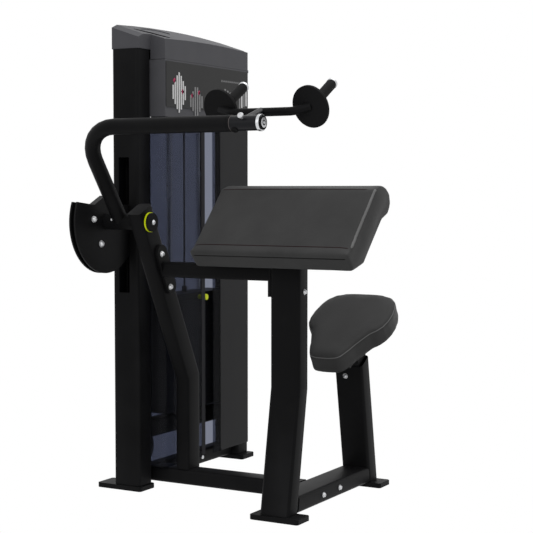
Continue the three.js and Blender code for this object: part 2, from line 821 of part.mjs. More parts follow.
// The cam: two flanges over a core whose rim is the cable's groove.
function cam() {
  const front = rodLine + camHalf;
  const groove = camPitch - cableRadius - runningGap;
  const flange = standingPrism(camOutline(camRim), front, camFlange, camFacets);
  const core = standingPrism(camOutline(groove), front - overrun, 2 * camHalf - 2 * overrun, camFacets);
  const bore = bar(
    [0, front + overrun, 0], [0, front - 2 * camHalf - overrun, 0], shaftRadius + runningGap, rodFacets,
  );
  const body = flange.add(flange.translate([0, camFlange - 2 * camHalf, 0])).add(core).subtract(bore);
  piece(lever, 'cam', body, satinBlack);
  const wrap = ({ x, y, z }) => point(x - pivotX, y, z - pivotHeight);
  const arc = cableArc(
    [pivotX, pivotHeight], camPitch, 0, camEnd - fullTurn - cableClearTurn, camArcSteps,
  ).map(wrap);
  piece(lever, 'cable_cam_end', roundSweep(arc, cableRadius, cableFacets), cableBlack);
}

// A domed bolt head on its washer, standing off a face toward the front.
function domedBolt(face, radius) {
  const washer = radius * domeWasherShare;
  const dome = Array.from({ length: domeSteps + 1 }, (_, step) => {
    const angle = (step / domeSteps) * (Math.PI / 2);
    const rise = washer + radius * domeRiseShare * Math.sin(angle);
    return new THREE.Vector2(radius * domeHeadShare * Math.cos(angle), rise);
  });
  const profile = [new THREE.Vector2(0, 0), new THREE.Vector2(radius, 0), new THREE.Vector2(
    radius, washer,
  ), ...dome];
  const geometry = new THREE.LatheGeometry(profile, pinFacets);
  geometry.rotateX(Math.PI);
  geometry.translate(0, face, 0);
  return solid(geometry);
}

// The fixed shaft, the tube that turns on it and the lime ring, cap and bolt on the strut's front.
function pivot() {
  const strutFront = strutBack - strutDepth;
  const shaftBack = rodLine + camHalf + plateStock;
  const collar = bar([0, strutBack + seatGap, 0], [0, hubStart - runningGap, 0], hubRadius, fineFacets);
  const shaft = bar([0, strutFront - seatGap, 0], [0, shaftBack, 0], shaftRadius, rodFacets);
  const keeper = bar(
    [0, rodLine + camHalf + runningGap, 0], [0, shaftBack, 0], keeperShare * shaftRadius, rodFacets,
  );
  piece(frame, 'pivot_shaft', shaft.add(collar).add(keeper), steelBright, { x: pivotX, z: pivotHeight });
  const hubEnd = rodLine - camHalf - seatGap;
  const bore = bar([0, hubStart - overrun, 0], [0, hubEnd + overrun, 0], shaftRadius + runningGap, rodFacets);
  const hub = bar([0, hubStart, 0], [0, hubEnd, 0], hubRadius, fineFacets).subtract(bore);
  piece(lever, 'hub_tube', hub, satinBlack);
  const face = strutFront - seatGap;
  const ringShape = new THREE.Shape();
  ringShape.absarc(0, 0, ringRadius, 0, 2 * Math.PI, false);
  const ringHole = new THREE.Path();
  ringHole.absarc(0, 0, ringBore, 0, 2 * Math.PI, false);
  ringShape.holes.push(ringHole);
  const place = { x: pivotX, z: pivotHeight };
  piece(frame, 'bearing_ring', standingPrism(ringShape, face, ringThickness, ringFacets), limeYellow, place);
  const ringFace = face - ringThickness;
  const capFace = ringFace - capThickness;
  const shaftRecess = bar([0, face + overrun, 0], [0, face - seatGap, 0], shaftRadius + seatGap, rodFacets);
  const spigot = bar(
    [0, face, 0], [0, ringFace - overrun, 0], ringBore - seatGap, fineFacets,
  ).subtract(shaftRecess);
  const cap = bar([0, ringFace - seatGap, 0], [0, capFace, 0], ringRadius - overrun, fineFacets).add(spigot);
  piece(frame, 'bearing_cap', cap, rubberBlack, place);
  piece(frame, 'bearing_bolt', domedBolt(capFace - seatGap, boltRadius), steelBright, place);
}

// The lever's tube: up from the hub, then round a bend and out over the seat to the spindle.
function leverTube() {
  const corner = point(leverCornerX, leverLine, leverCornerZ);
  const outward = point(leverCornerX, leverEnd, leverCornerZ);
  const bend = roundCorner(point(0, leverLine, 0), corner, outward, leverBend, bendSteps);
  const tube = roundSweep([point(0, leverLine, 0), ...bend, outward], leverRadius, rodFacets);
  const hub = bar([0, hubStart, 0], [0, rodLine - camHalf, 0], hubRadius + seatGap, fineFacets);
  const parts = tube.subtract(hub).decompose();
  const upper = parts.sort((a, b) => b.volume() - a.volume())[0];
  piece(lever, 'lever_tube', upper, satinBlack);
}

const spindle = new THREE.Group();
spindle.position.set(leverCornerX, 0, leverCornerZ);
lever.add(spindle);

// The spindle that the handle unit turns on, with its end ring, cap and pull pin.
function spindlePieces() {
  const core = bar([0, leverEnd - seatGap, 0], [0, knurlEnd + overrun, 0], spindleCore, rodFacets);
  const collar = bar([0, leverEnd - seatGap, 0], [0, spindleStart + runningGap, 0], leverRadius, rodFacets);
  piece(spindle, 'spindle_core', core.add(collar), steelBright);
  const ringBack = spindleEnd - runningGap;
  const ringHole = bar(
    [0, ringBack + overrun, 0], [0, knurlEnd - overrun, 0], spindleCore + seatGap, rodFacets,
  );
  const ring = bar([0, ringBack, 0], [0, knurlEnd, 0], spindleRadius + overrun, fineFacets).subtract(ringHole);
  piece(spindle, 'spindle_ring', ring, steelBright);
  piece(spindle, 'spindle_cap', bar(
    [0, knurlEnd - seatGap, 0], [0, spindleCap, 0], spindleRadius - overrun, fineFacets,
  ), rubberBlack);
}

const handle = new THREE.Group();
handle.position.set(0, handleMiddle, 0);
spindle.add(handle);

// The sleeve that turns on the spindle, with the arm that carries the handle bar.
function handleSleeve() {
  const [back, front] = [spindleStart - handleMiddle, spindleEnd - handleMiddle];
  const tube = bar([0, back, 0], [0, front, 0], spindleRadius, fineFacets);
  const arm = bar([0, 0, 0], [barOut, 0, barUp], armRadius, armFacets);
  const joint = bar([barOut, -tubeWide, barUp], [barOut, tubeWide, barUp], barRadius + seatGap, rodFacets);
  const beyondBar = box([barOut, -tubeWide, -tubeWide], [2 * barOut, tubeWide, tubeWide]);
  const clearance = joint.add(beyondBar);
  const bore = bar([0, back + overrun, 0], [0, front - overrun, 0], spindleCore + runningGap, rodFacets);
  const body = tube.add(arm).subtract(bore).subtract(clearance);
  piece(handle, 'handle_sleeve', body, satinBlack);
}

// The handle bar with its curved ends, the two discs and the two grips.
function handleBar() {
  const discTurn = [0, -discPitch, discYaw];
  const end = (sign) => discSeat(sign, 0);
  const corner = (sign) => point(barOut, sign * barHalf, barUp);
  const bend = (sign) => roundCorner(
    point(barOut, 0, barUp), corner(sign), end(sign), barBendRadius, barBendSteps,
  );
  const stations = [end(1), ...bend(1).reverse(), ...bend(-1), end(-1)];
  const half = discRadius;
  const behind = box([-discHalf - seatGap, -half, -half], [half, half, half]).rotate(discTurn);
  const past = (sign) => behind.translate(discSeat(sign, 0).toArray());
  const body = roundSweep(stations, barRadius, pinFacets).subtract(past(1)).subtract(past(-1));
  piece(handle, 'handle_bar', body, satinBlack);
  [['back', 1], ['front', -1]].forEach(([name, sign]) => {
    const disc = bar([-discHalf, 0, 0], [discHalf, 0, 0], discRadius, discFacets).rotate(discTurn);
    piece(handle, `handle_disc_${name}`, disc, satinBlack, discSeat(sign, 0));
    gripPieces(name, sign);
  });
}

// A point on a disc's axis, at a distance from its centre.
function discSeat(sign, distance) {
  const normal = discNormal();
  return point(discOut, sign * handleSpread, discUp).addScaledVector(normal, distance);
}

function discNormal() {
  const euler = new THREE.Euler(0, -discPitch * degrees, discYaw * degrees, 'ZYX');
  return point(1, 0, 0).applyEuler(euler);
}

// A grip that stands out of its disc at a rising angle.
function gripPieces(name, sign) {
  const direction = point(Math.cos(gripRise * degrees), 0, Math.sin(gripRise * degrees));
  const place = discSeat(sign, discHalf + seatGap);
  const at = (distance) => direction.clone().multiplyScalar(distance).toArray();
  const grip = bar(at(-gripRadius), at(gripLength), gripRadius, rodFacets).subtract(discSide());
  piece(handle, `grip_${name}`, grip, rubberBlack, place);
}

// All that lies behind a disc's front face, as a cutter.
function discSide() {
  const half = discRadius;
  return box([-2 * half, -half, -half], [0, half, half]).rotate([0, -discPitch, discYaw]);
}

cam();
leverTube();
spindlePieces();
handleSleeve();
handleBar();

const strutBase = beamHeight + plateStock + seatGap;
const beamFront = frameMiddle + tubeDeep / 2 + seatGap;

// The long base beam from the tower to the seat's cross beam, with its two flanges.
function baseBeam() {
  const from = beamFront;
  const to = rodLine - tubeNarrow / 2 - seatGap;
  const tube = levelTube('y', from, to, strutCentre, plateStock, tubeWide, beamHeight);
  piece(frame, 'base_beam', tube, satinBlack);
}

// The two-legged strut that carries the pivot.
function pivotStrut() {
  const lean = Math.atan2(pivotX - strutCentre, pivotHeight - strutKnee);
  const foot = [strutCentre, strutBase];
  const knee = [strutCentre, strutKnee];
  const head = [pivotX + strutReach * Math.sin(lean), pivotHeight + strutReach * Math.cos(lean)];
  const tube = kneedTube([foot, knee, head], tubeWide, strutDepth);
  const headCut = beyond(head, [Math.sin(lean), Math.cos(lean)]);
  const footCut = beyond(foot, [0, -1]);
  const shaftHole = bar(
    [pivotX, farReach, pivotHeight], [pivotX, -farReach, pivotHeight], shaftRadius + seatGap, rodFacets,
  );
  const line = strutBack - strutDepth / 2;
  const under = (distance) => [head[0] - distance * Math.sin(lean), head[1] - distance * Math.cos(lean)];
  const belowCap = beyond(under(tubeWall), [-Math.sin(lean), -Math.cos(lean)]);
  const cap = kneedBar(
    [foot, knee, head], tubeWide, strutDepth, tubeCorner,
  ).subtract(headCut).subtract(belowCap);
  const body = tube.subtract(headCut).subtract(footCut).add(cap).subtract(shaftHole);
  piece(frame, 'pivot_strut', body, satinBlack, { y: line });
}

// The long round-ended flange that bolts the upper beam to the strut, along the strut's lean.
function strutFlange() {
  const lean = Math.atan2(pivotX - strutCentre, pivotHeight - strutKnee);
  const half = flangeBoltSpacing / 2;
  const shape = new THREE.Shape();
  shape.absarc(0, half, flangeHalf, 0, Math.PI, false);
  shape.absarc(0, -half, flangeHalf, Math.PI, 2 * Math.PI, false);
  shape.closePath();
  const flat = standingPrism(shape, 0, flangeThickness, flangeFacets);
  const middle = [postCentre, strutBack - strutDepth - seatGap, beamBottom + beamTall / 2];
  return flat.rotate([0, lean / degrees, 0]).translate(middle);
}

// A point of the arm pad's outline, from its shares of the pad's width and height.
function armPadPoint([x, z]) {
  return new THREE.Vector2(armPadLeft + x * armPadWide, armPadLow + z * armPadTall);
}

// The post that carries the arm pad, with one knee, and its foot.
function middlePost() {
  const drop = postKnee - standing;
  const footX = postCentre - drop * Math.tan(postLean * degrees);
  const foot = [footX, standing];
  const knee = [postCentre, postKnee];
  const head = [postCentre, postTop];
  const [from, to] = armPadShares.slice(armPadUnderStart, armPadUnderStart + 2).map(armPadPoint);
  const slope = to.clone().sub(from).normalize();
  const under = boardThickness + 2 * seatGap;
  const seatLine = [from.x + under * slope.y, from.y - under * slope.x];
  const tube = kneedTube([foot, knee, head], postWidth, tubeDeep);
  const body = tube.subtract(beyond(seatLine, [-slope.y, slope.x])).subtract(beyond(foot, [0, -1]));
  piece(frame, 'middle_post', body, satinBlack, { y: frameMiddle });
  piece(frame, 'middle_foot', footPlate(middleFootLeft, frontFootFront), satinBlack);
  const halfFlange = tubeNarrow / 2;
  const low = [postCentre - halfFlange, beamFront, postFlangeLow];
  const high = [postCentre + halfFlange, beamFront + flangeThickness, postFlangeHigh];
  const weld = flangeThickness / 2;
  const beamStart = beamFront + weld;
  const beamEnd = strutBack - strutDepth - seatGap - weld;
  const beam = levelTube('y', beamStart, beamEnd, postCentre, beamBottom, tubeNarrow, beamTall);
  piece(frame, 'upper_beam', beam.add(box(low, high)).add(strutFlange()), satinBlack);
}

// The low cross beam between the two posts, and the leaning seat post.
function seatFrame() {
  const drop = postKnee - standing;
  const footX = postCentre - drop * Math.tan(postLean * degrees);
  const seatLean = Math.atan2(seatPostHead - seatPostFoot, seatPostTop - standing);
  const half = postWidth / 2;
  const beam = levelTube(
    'x', footX - half, seatPostFoot + half, frameMiddle, plateStock, tubeDeep, beamHeight,
  );
  const leftLean = Math.tan(postLean * degrees);
  const rightLean = Math.tan(seatLean);
  const leftCut = beyond([footX + half / Math.cos(postLean * degrees) + seatGap, standing], [-1, leftLean]);
  const rightCut = beyond([seatPostFoot - half / Math.cos(seatLean) - seatGap, standing], [1, -rightLean]);
  piece(frame, 'seat_beam', beam.subtract(leftCut).subtract(rightCut), satinBlack);
  const length = Math.hypot(seatPostHead - seatPostFoot, seatPostTop - standing);
  const post = squareTube(postWidth, tubeDeep, length + 2 * half).translate([0, 0, -half]);
  const leaning = post.rotate([0, seatLean / degrees, 0]).translate([seatPostFoot, 0, standing]);
  const head = [seatPostHead, seatPostTop];
  const slope = [-Math.sin(seatTilt * degrees), Math.cos(seatTilt * degrees)];
  const body = leaning.subtract(beyond([seatPostFoot, standing], [0, -1])).subtract(beyond(head, slope));
  piece(frame, 'seat_post', body, satinBlack, { y: frameMiddle });
  piece(frame, 'seat_foot', footPlate(seatFootLeft, seatFootFront), satinBlack);
}

const seat = new THREE.Group();
seat.position.set(seatTopX, frameMiddle, seatTopZ);
seat.rotation.y = -seatTilt * degrees;
machine.add(seat);

// A cushion: rings of one outline, drawn in by an inset at each level, closed by two flat ends.
function cushion(outline, levels) {
  const count = outline.length;
  const normals = outline.map((_, index) => {
    const before = outline[(index + count - 1) % count];
    const after = outline[(index + 1) % count];
    return new THREE.Vector2(after.y - before.y, before.x - after.x).normalize();
  });
  const ring = ([inset, height]) => outline.map((v, index) => [
    v.x - inset * normals[index].x,
    v.y - inset * normals[index].y,
    height,
  ]);
  const rings = levels.map(ring);
  const positions = rings.flat(2);
  const faces = [];
  for (let level = 0; level < rings.length - 1; level += 1) {
    for (let index = 0; index < count; index += 1) {
      const next = (index + 1) % count;
      const [a, b] = [level * count + index, level * count + next];
      faces.push(a, b, b + count, a, b + count, a + count);
    }
  }
  const flat = (points) => THREE.ShapeUtils.triangulateShape(
    points.map(([x, y]) => new THREE.Vector2(x, y)), [],
  );
  const top = (rings.length - 1) * count;
  flat(rings[0]).forEach(([a, b, c]) => faces.push(a, c, b));
  flat(rings[rings.length - 1]).forEach(([a, b, c]) => faces.push(top + a, top + b, top + c));
  const geometry = new THREE.BufferGeometry();
  geometry.setAttribute('position', new THREE.Float32BufferAttribute(positions, 3));
  geometry.setIndex(faces);
  return solid(geometry);
}

// The rounded edge of a cushion between its two ends, as insets and heights.
function cushionLevels(low, high, round, waist) {
  const arc = (from, to, end, sign) => Array.from({ length: cushionSteps + 1 }, (_, step) => {
    const angle = (from + ((to - from) * step) / cushionSteps) * degrees;
    return [round * (1 - Math.cos(angle)), end + sign * round * (1 - Math.sin(angle))];
  });
  const lower = arc(quarterTurn, 0, low, 1);
  const upper = arc(0, quarterTurn, high, -1);
  return [...lower, [waist, (low + high) / 2], ...upper];
}

// The saddle-shaped seat cushion, wide at the rear and narrow between the legs, with drawn-in sides.
function seatPad() {
  const half = seatShares.map(([along, across]) => new THREE.Vector2(along * seatLength, across * seatLength));
  const mirrored = half.map((v) => new THREE.Vector2(v.x, -v.y));
  const levels = cushionLevels(-seatThickness, 0, cushionRound, seatWaist);
  piece(seat, 'seat_pad', cushion([...mirrored, ...half.reverse()], levels), padGrey);
  const top = -seatThickness - seatGap;
  const boardLow = [-seatLength * boardFrontShare, -boardHalf, top - boardThickness];
  const board = box(boardLow, [seatLength * boardRearShare, boardHalf, top]);
  piece(seat, 'seat_board', board, boardBlack);
  const angle = seatTilt * degrees;
  const reach = [seatPostHead - seatTopX, seatPostTop - seatTopZ];
  const along = reach[0] * Math.cos(angle) + reach[1] * Math.sin(angle);
  const depth = reach[1] * Math.cos(angle) - reach[0] * Math.sin(angle);
  const high = top - boardThickness - seatGap;
  const [blockHalf, blockSide] = [postWidth / 2, tubeDeep / 2 - tubeCorner];
  const block = box([along - blockHalf, -blockSide, depth + seatGap], [along + blockHalf, blockSide, high]);
  const plateHalf = tubeWide;
  const plate = box(
    [along - plateHalf, -tubeDeep / 2, high - plateStock], [along + plateHalf, tubeDeep / 2, high],
  );
  piece(seat, 'seat_bracket', block.add(plate), satinBlack);
}

// The arm pad: a long cushion with a sloping face, a nose below and a roll along its top.
function armPad() {
  const outline = armPadShares.map(armPadPoint);
  const levels = cushionLevels(-armPadLength / 2, armPadLength / 2, armPadRound, 0);
  const body = cushion(outline, levels).rotate([quarterTurn, 0, 0]);
  const middle = armPadBack - armPadLength / 2;
  piece(frame, 'arm_pad', body, padGrey, { y: middle });
  const [low, high] = [armPadBoardFromShare, armPadBoardToShare].map((share) => {
    const [from, to] = [outline[armPadUnderStart], outline[armPadUnderStart + 1]];
    return from.clone().lerp(to, share);
  });
  const run = high.clone().sub(low);
  const board = box(
    [0, -armPadBoardHalf, -boardThickness - seatGap], [run.length(), armPadBoardHalf, -seatGap],
  );
  const tilt = -Math.atan2(run.y, run.x) / degrees;
  piece(
    frame, 'arm_board', board.rotate([0, tilt, 0]).translate([low.x, 0, low.y]), boardBlack, { y: middle },
  );
}

baseBeam();
pivotStrut();
pivot();
middlePost();
seatFrame();
seatPad();
armPad();

const extent = new THREE.Box3().setFromObject(machine);
const middle = extent.getCenter(new THREE.Vector3());
machine.position.set(-middle.x, -middle.y, -extent.min.z);
machine.updateMatrixWorld(true);

export default machine;
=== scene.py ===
# %% [markdown]
# # A triceps press machine, dressed over its imported frame
# The machine's construction is already modelled, at a real size estimated from a photograph. This lesson
# loads it as a fixed frame, and then gives every surface its finish.

# %% Load the frame
import json
import math

import bmesh
import bpy
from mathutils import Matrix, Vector

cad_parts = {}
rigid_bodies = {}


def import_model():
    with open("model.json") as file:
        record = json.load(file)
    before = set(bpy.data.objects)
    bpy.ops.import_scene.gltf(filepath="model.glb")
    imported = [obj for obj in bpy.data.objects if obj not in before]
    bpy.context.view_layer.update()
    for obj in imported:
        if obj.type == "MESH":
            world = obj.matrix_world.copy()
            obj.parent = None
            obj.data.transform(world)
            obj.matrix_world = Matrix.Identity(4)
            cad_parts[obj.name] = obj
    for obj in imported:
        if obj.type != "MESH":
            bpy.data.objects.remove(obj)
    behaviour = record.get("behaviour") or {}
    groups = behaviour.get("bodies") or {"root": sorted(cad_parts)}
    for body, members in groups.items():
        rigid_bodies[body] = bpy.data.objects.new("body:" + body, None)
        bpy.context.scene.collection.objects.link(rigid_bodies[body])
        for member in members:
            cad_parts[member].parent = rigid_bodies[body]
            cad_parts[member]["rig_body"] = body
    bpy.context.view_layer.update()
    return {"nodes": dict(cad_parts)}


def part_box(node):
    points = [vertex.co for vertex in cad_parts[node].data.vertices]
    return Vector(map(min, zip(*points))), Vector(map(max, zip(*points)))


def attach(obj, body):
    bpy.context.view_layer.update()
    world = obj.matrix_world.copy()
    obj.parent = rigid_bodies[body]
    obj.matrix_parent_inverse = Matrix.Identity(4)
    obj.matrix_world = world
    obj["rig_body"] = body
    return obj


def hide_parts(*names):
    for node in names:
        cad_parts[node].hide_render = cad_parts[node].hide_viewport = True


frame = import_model()
nodes = frame["nodes"]
body_of_node = {name: node["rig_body"] for name, node in nodes.items()}
mm = 0.001

# %% [markdown]
# ## Writing shader maths as plain expressions
# A node tree is easiest to read as a formula. One small class wraps a socket, and its operators add Math
# nodes, so `1 - mask * 0.4` builds the same nodes that would take six lines by hand. Every other node
# comes from one method that takes the node's settings and its inputs.

# %% Wrap a socket so that operators build Math nodes
class Value:
    """One output socket of a material's node tree."""

    def __init__(self, tree, socket):
        self.tree = tree
        self.socket = socket

    def math(self, operation, left, right=0.0):
        return make_node(self.tree, "ShaderNodeMath", {"operation": operation}, {0: left, 1: right})

    def __add__(self, other):
        return self.math("ADD", self, other)

    def __sub__(self, other):
        return self.math("SUBTRACT", self, other)

    def __rsub__(self, other):
        return self.math("SUBTRACT", other, self)

    def __mul__(self, other):
        return self.math("MULTIPLY", self, other)

    __radd__ = __add__
    __rmul__ = __mul__


def make_node(tree, kind, settings=None, inputs=None, output=0):
    """Adds a node: its settings are set first, then each input gets a value or a link."""
    node = tree.nodes.new(kind)
    for name, setting in (settings or {}).items():
        if name == "stops":
            fill_ramp(node.color_ramp, setting)
        else:
            setattr(node, name, setting)
    for name, value in (inputs or {}).items():
        if isinstance(value, Value):
            tree.links.new(value.socket, node.inputs[name])
        else:
            node.inputs[name].default_value = value
    return Value(tree, node.outputs[output])


def fill_ramp(ramp, stops):
    """Gives a colour ramp its stops, each a place and a colour."""
    while len(ramp.elements) < len(stops):
        ramp.elements.new(1.0)
    for element, (place, colour) in zip(ramp.elements, stops):
        element.position = place
        element.color = colour


# %% [markdown]
# ## Colours as they are seen
# Colours are noted as screen values from 0 to 255. The shaders want linear light, so one function
# turns the first into the second.

# %% Turn a screen colour into linear light
def seen(red, green, blue):
    """A screen colour, 0 to 255 a channel, as linear RGBA."""
    def linear(level):
        share = level / 255
        return share / 12.92 if share <= 0.04045 else ((share + 0.055) / 1.055) ** 2.4
    return (linear(red), linear(green), linear(blue), 1.0)


# %% [markdown]
# ## One recipe for coated surfaces
# Powder coat, moulded plastic, rubber and vinyl all look alike from far off, and differ in grain, gloss
# and how unevenly they have aged. One function builds a material from those facts: a fine grain for the
# bump, a broad mottle that shifts colour and roughness a little, and a worn tint that collects on edges
# through the mesh's pointiness.

# %% Build a grained, mottled surface
def coated(name, colour, roughness, grain_mm, depth_mm, mottle=0.12, rough_shift=0.08, metallic=0.0,
           coat=0.0, worn=None, wear=0.0, specular=0.5):
    """A surface with a base colour, a grain of the given size and depth, and a broad mottle."""
    material = bpy.data.materials.new(name)
    material.use_nodes = True
    tree = material.node_tree
    shader = tree.nodes["Principled BSDF"]
    place = make_node(tree, "ShaderNodeTexCoord", output=3)
    grain = make_node(tree, "ShaderNodeTexNoise", {}, {"Vector": place, "Scale": 1 / (grain_mm * mm),
                                                       "Detail": 3.0, "Roughness": 0.6})
    broad = make_node(tree, "ShaderNodeTexNoise", {}, {"Vector": place, "Scale": 9.0, "Detail": 4.0})
    darker = tuple(channel * (1 - mottle) for channel in colour[:3]) + (1.0,)
    lighter = tuple(min(1.0, channel * (1 + mottle)) for channel in colour[:3]) + (1.0,)
    tone = make_node(tree, "ShaderNodeValToRGB", {"stops": [(0.32, darker), (0.68, lighter)]},
                     {"Fac": broad})
    if wear:
        edge = make_node(tree, "ShaderNodeNewGeometry", output=7)
        mask = make_node(tree, "ShaderNodeMapRange", {}, {"Value": edge + broad * 0.06, "From Min": 0.56,
                                                          "From Max": 0.68, "To Max": wear})
        tone = make_node(tree, "ShaderNodeMix", {"data_type": "RGBA"}, {0: mask, 6: tone, 7: worn},
                         output=2)
    tree.links.new(tone.socket, shader.inputs["Base Color"])
    rough = broad * rough_shift + (roughness - rough_shift / 2)
    tree.links.new(rough.socket, shader.inputs["Roughness"])
    bump = make_node(tree, "ShaderNodeBump", {}, {"Strength": 0.6, "Distance": depth_mm * mm,
                                                  "Height": grain})
    tree.links.new(bump.socket, shader.inputs["Normal"])
    shader.inputs["Metallic"].default_value = metallic
    shader.inputs["Coat Weight"].default_value = coat
    shader.inputs["Coat Roughness"].default_value = 0.2
    shader.inputs["Specular IOR Level"].default_value = specular
    return material


# %% [markdown]
# ## The machine's finishes
# The frame is a satin black powder coat with a fine orange-peel. The shroud and the right cover are
# moulded plastic, the pads a tight-grained dark grey vinyl, and the hardware is plated.

# %% Make the finishes
pale_edge = seen(96, 96, 98)
frame_paint = coated("frame_paint", seen(18, 18, 19), 0.46, 1.4, 0.05, 0.1, 0.1, specular=0.05,
                     worn=pale_edge, wear=0.12)
cam_paint = coated("cam_paint", seen(12, 12, 13), 0.5, 1.4, 0.05, 0.1, 0.1, specular=0.1,
                   worn=pale_edge, wear=0.12)
sleeve_gloss = coated("sleeve_gloss", seen(16, 17, 21), 0.3, 2.0, 0.02, 0.08, 0.06, specular=0.15)
shroud_plastic = coated("shroud_plastic", seen(76, 76, 80), 0.55, 0.9, 0.06, 0.06, 0.08, specular=0.2,
                        worn=seen(120, 120, 122), wear=0.2)
cover_plastic = coated("cover_plastic", seen(51, 51, 52), 0.5, 0.9, 0.05, 0.06, 0.08, specular=0.05)
placard_plastic = coated("placard_plastic", seen(60, 60, 60), 0.5, 0.9, 0.03, 0.05, 0.05, specular=0.1)
rubber = coated("rubber", seen(14, 14, 15), 0.75, 0.7, 0.12, 0.14, 0.1, specular=0.12)
strip_plastic = coated("strip_plastic", seen(28, 28, 32), 0.6, 0.9, 0.03, 0.06, 0.08, specular=0.1)
plate_paint = coated("plate_paint", seen(24, 24, 26), 0.5, 1.2, 0.08, 0.14, 0.1, specular=0.3)
pulley_plastic = coated("pulley_plastic", seen(30, 30, 32), 0.4, 1.0, 0.04, specular=0.3)
cable_jacket = coated("cable_jacket", seen(20, 20, 21), 0.35, 2.5, 0.05)
board_black = coated("board_black", seen(26, 26, 26), 0.8, 2.0, 0.2)
dull_steel = coated("dull_steel", seen(92, 86, 85), 0.4, 0.8, 0.02, 0.06, 0.1, metallic=0.5)
bright = coated("polished_alloy", seen(214, 215, 217), 0.34, 0.6, 0.01, 0.05, 0.1, metallic=0.6)
print_white = coated("print_white", seen(236, 236, 236), 0.5, 0.8, 0.01, 0.03, 0.05, specular=0.2)
print_grey = coated("print_grey", seen(148, 148, 149), 0.5, 0.8, 0.01, 0.04, 0.05, specular=0.2)
print_magenta = coated("print_magenta", seen(196, 60, 104), 0.5, 0.8, 0.01, 0.04, 0.05, specular=0.2)
# A dark matt skin whose colour is painted shade for the roof's hollow.
hollow_shade_skin = coated("painted_hollow_shade", seen(26, 26, 27), 0.9, 0.9, 0.05, 0.1, 0.08, specular=0.0)
lime = coated("lime_plastic", seen(238, 252, 18), 0.42, 1.5, 0.02, 0.04, 0.05, coat=0.1, specular=0.2)
steel = coated("bright_steel", seen(206, 208, 210), 0.26, 0.8, 0.015, 0.05, 0.12, metallic=1.0)
print("finishes made", len(bpy.data.materials))

# %% [markdown]
# ## Smoke-tinted shields
# The shields are clear sheet with a smoke tint, so what lies behind is seen darker and bluer. A real
# glass shader would need the light to find its way through two sheets, so the sheet is a mix of a tinted
# transparent shader and a thin gloss, which stays clean with few samples.

# %% Build the tinted sheet
def tinted_sheet(name, tint, haze, gloss_share):
    """A thin see-through sheet: light that passes is tinted and a small share is reflected."""
    material = bpy.data.materials.new(name)
    material.use_nodes = True
    tree = material.node_tree
    shader = tree.nodes["Principled BSDF"]
    output = tree.nodes["Material Output"]
    shader.inputs["Base Color"].default_value = haze
    shader.inputs["Specular IOR Level"].default_value = 0.3
    shader.inputs["Metallic"].default_value = 0.0
    place = make_node(tree, "ShaderNodeTexCoord", output=3)
    smear = make_node(tree, "ShaderNodeTexNoise", {}, {"Vector": place, "Scale": 5.0, "Detail": 5.0})
    tree.links.new((smear * 0.08 + 0.05).socket, shader.inputs["Roughness"])
    clear = tree.nodes.new("ShaderNodeBsdfTransparent")
    clear.inputs["Color"].default_value = tint
    mix = tree.nodes.new("ShaderNodeMixShader")
    tree.links.new((smear * 0.05 + gloss_share).socket, mix.inputs["Fac"])
    tree.links.new(clear.outputs["BSDF"], mix.inputs[1])
    tree.links.new(shader.outputs["BSDF"], mix.inputs[2])
    tree.links.new(mix.outputs["Shader"], output.inputs["Surface"])
    return material


# Light crosses both faces of a sheet, so each face takes the square root of the tint that is seen, over
# the share of the light that the gloss lets through.
let_through = 0.93
clear_tint = tuple(math.sqrt(c) / let_through for c in seen(119, 123, 137)[:3]) + (1.0,)
shield_tint = tinted_sheet("tinted_shield", clear_tint, seen(89, 89, 91), 0.05)

# %% [markdown]
# ## Vinyl for the pads
# Upholstery vinyl has a leather-like grain: small cells with soft creases between them. Cell noise gives
# the creases, and a broad noise varies the tone and the gloss, as on a cover that is stretched unevenly.

# %% Build the vinyl
def vinyl_cover(name, colour):
    """Vinyl of one colour with a cell grain, soft creases and an uneven gloss."""
    material = bpy.data.materials.new(name)
    material.use_nodes = True
    tree = material.node_tree
    shader = tree.nodes["Principled BSDF"]
    place = make_node(tree, "ShaderNodeTexCoord", output=3)
    cells = make_node(tree, "ShaderNodeTexVoronoi", {"feature": "SMOOTH_F1"},
                      {"Vector": place, "Scale": 520.0, "Smoothness": 0.4})
    fine = make_node(tree, "ShaderNodeTexNoise", {}, {"Vector": place, "Scale": 900.0, "Detail": 2.0})
    broad = make_node(tree, "ShaderNodeTexNoise", {}, {"Vector": place, "Scale": 7.0, "Detail": 3.0})
    darker = tuple(channel * 0.86 for channel in colour[:3]) + (1.0,)
    lighter = tuple(channel * 1.12 for channel in colour[:3]) + (1.0,)
    tone = make_node(tree, "ShaderNodeValToRGB", {"stops": [(0.35, darker), (0.65, lighter)]},
                     {"Fac": broad * 0.8 + cells * 0.2})
    tree.links.new(tone.socket, shader.inputs["Base Color"])
    tree.links.new((broad * 0.12 + 0.42).socket, shader.inputs["Roughness"])
    bump = make_node(tree, "ShaderNodeBump", {}, {"Strength": 0.55, "Distance": 0.25 * mm,
                                                  "Height": cells * 1.4 + fine * 0.4})
    tree.links.new(bump.socket, shader.inputs["Normal"])
    shader.inputs["Specular IOR Level"].default_value = 0.08
    return material


pad_vinyl = vinyl_cover("pad_vinyl", seen(67, 67, 67))
# The next two vinyls paint the shade in the pads' creases and seams, and the second one is dark reddish.
dark_seam_shade_vinyl = vinyl_cover("dark_seam_shade_vinyl", seen(13, 13, 13))
red_crease_shade_vinyl = vinyl_cover("red_crease_shade_vinyl", seen(40, 27, 29))
# The pale piping vinyl paints the highlight along the pads' rounded edges.
piping_highlight_vinyl = vinyl_cover("piping_highlight_vinyl", seen(122, 122, 122))

# %% [markdown]
# ## Refining a machined piece
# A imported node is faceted: its round corners are a few flats. A refined copy of the mesh keeps its place
# and outline, but shades the flats as one curve, dissolves needless edges and rounds every hard edge by
# about a millimetre or two, so that edges catch the light as real ones do. The copy stands for the node.

# %% Copy a node with soft edges
weld_mm = 0.01
flat_deg = 1


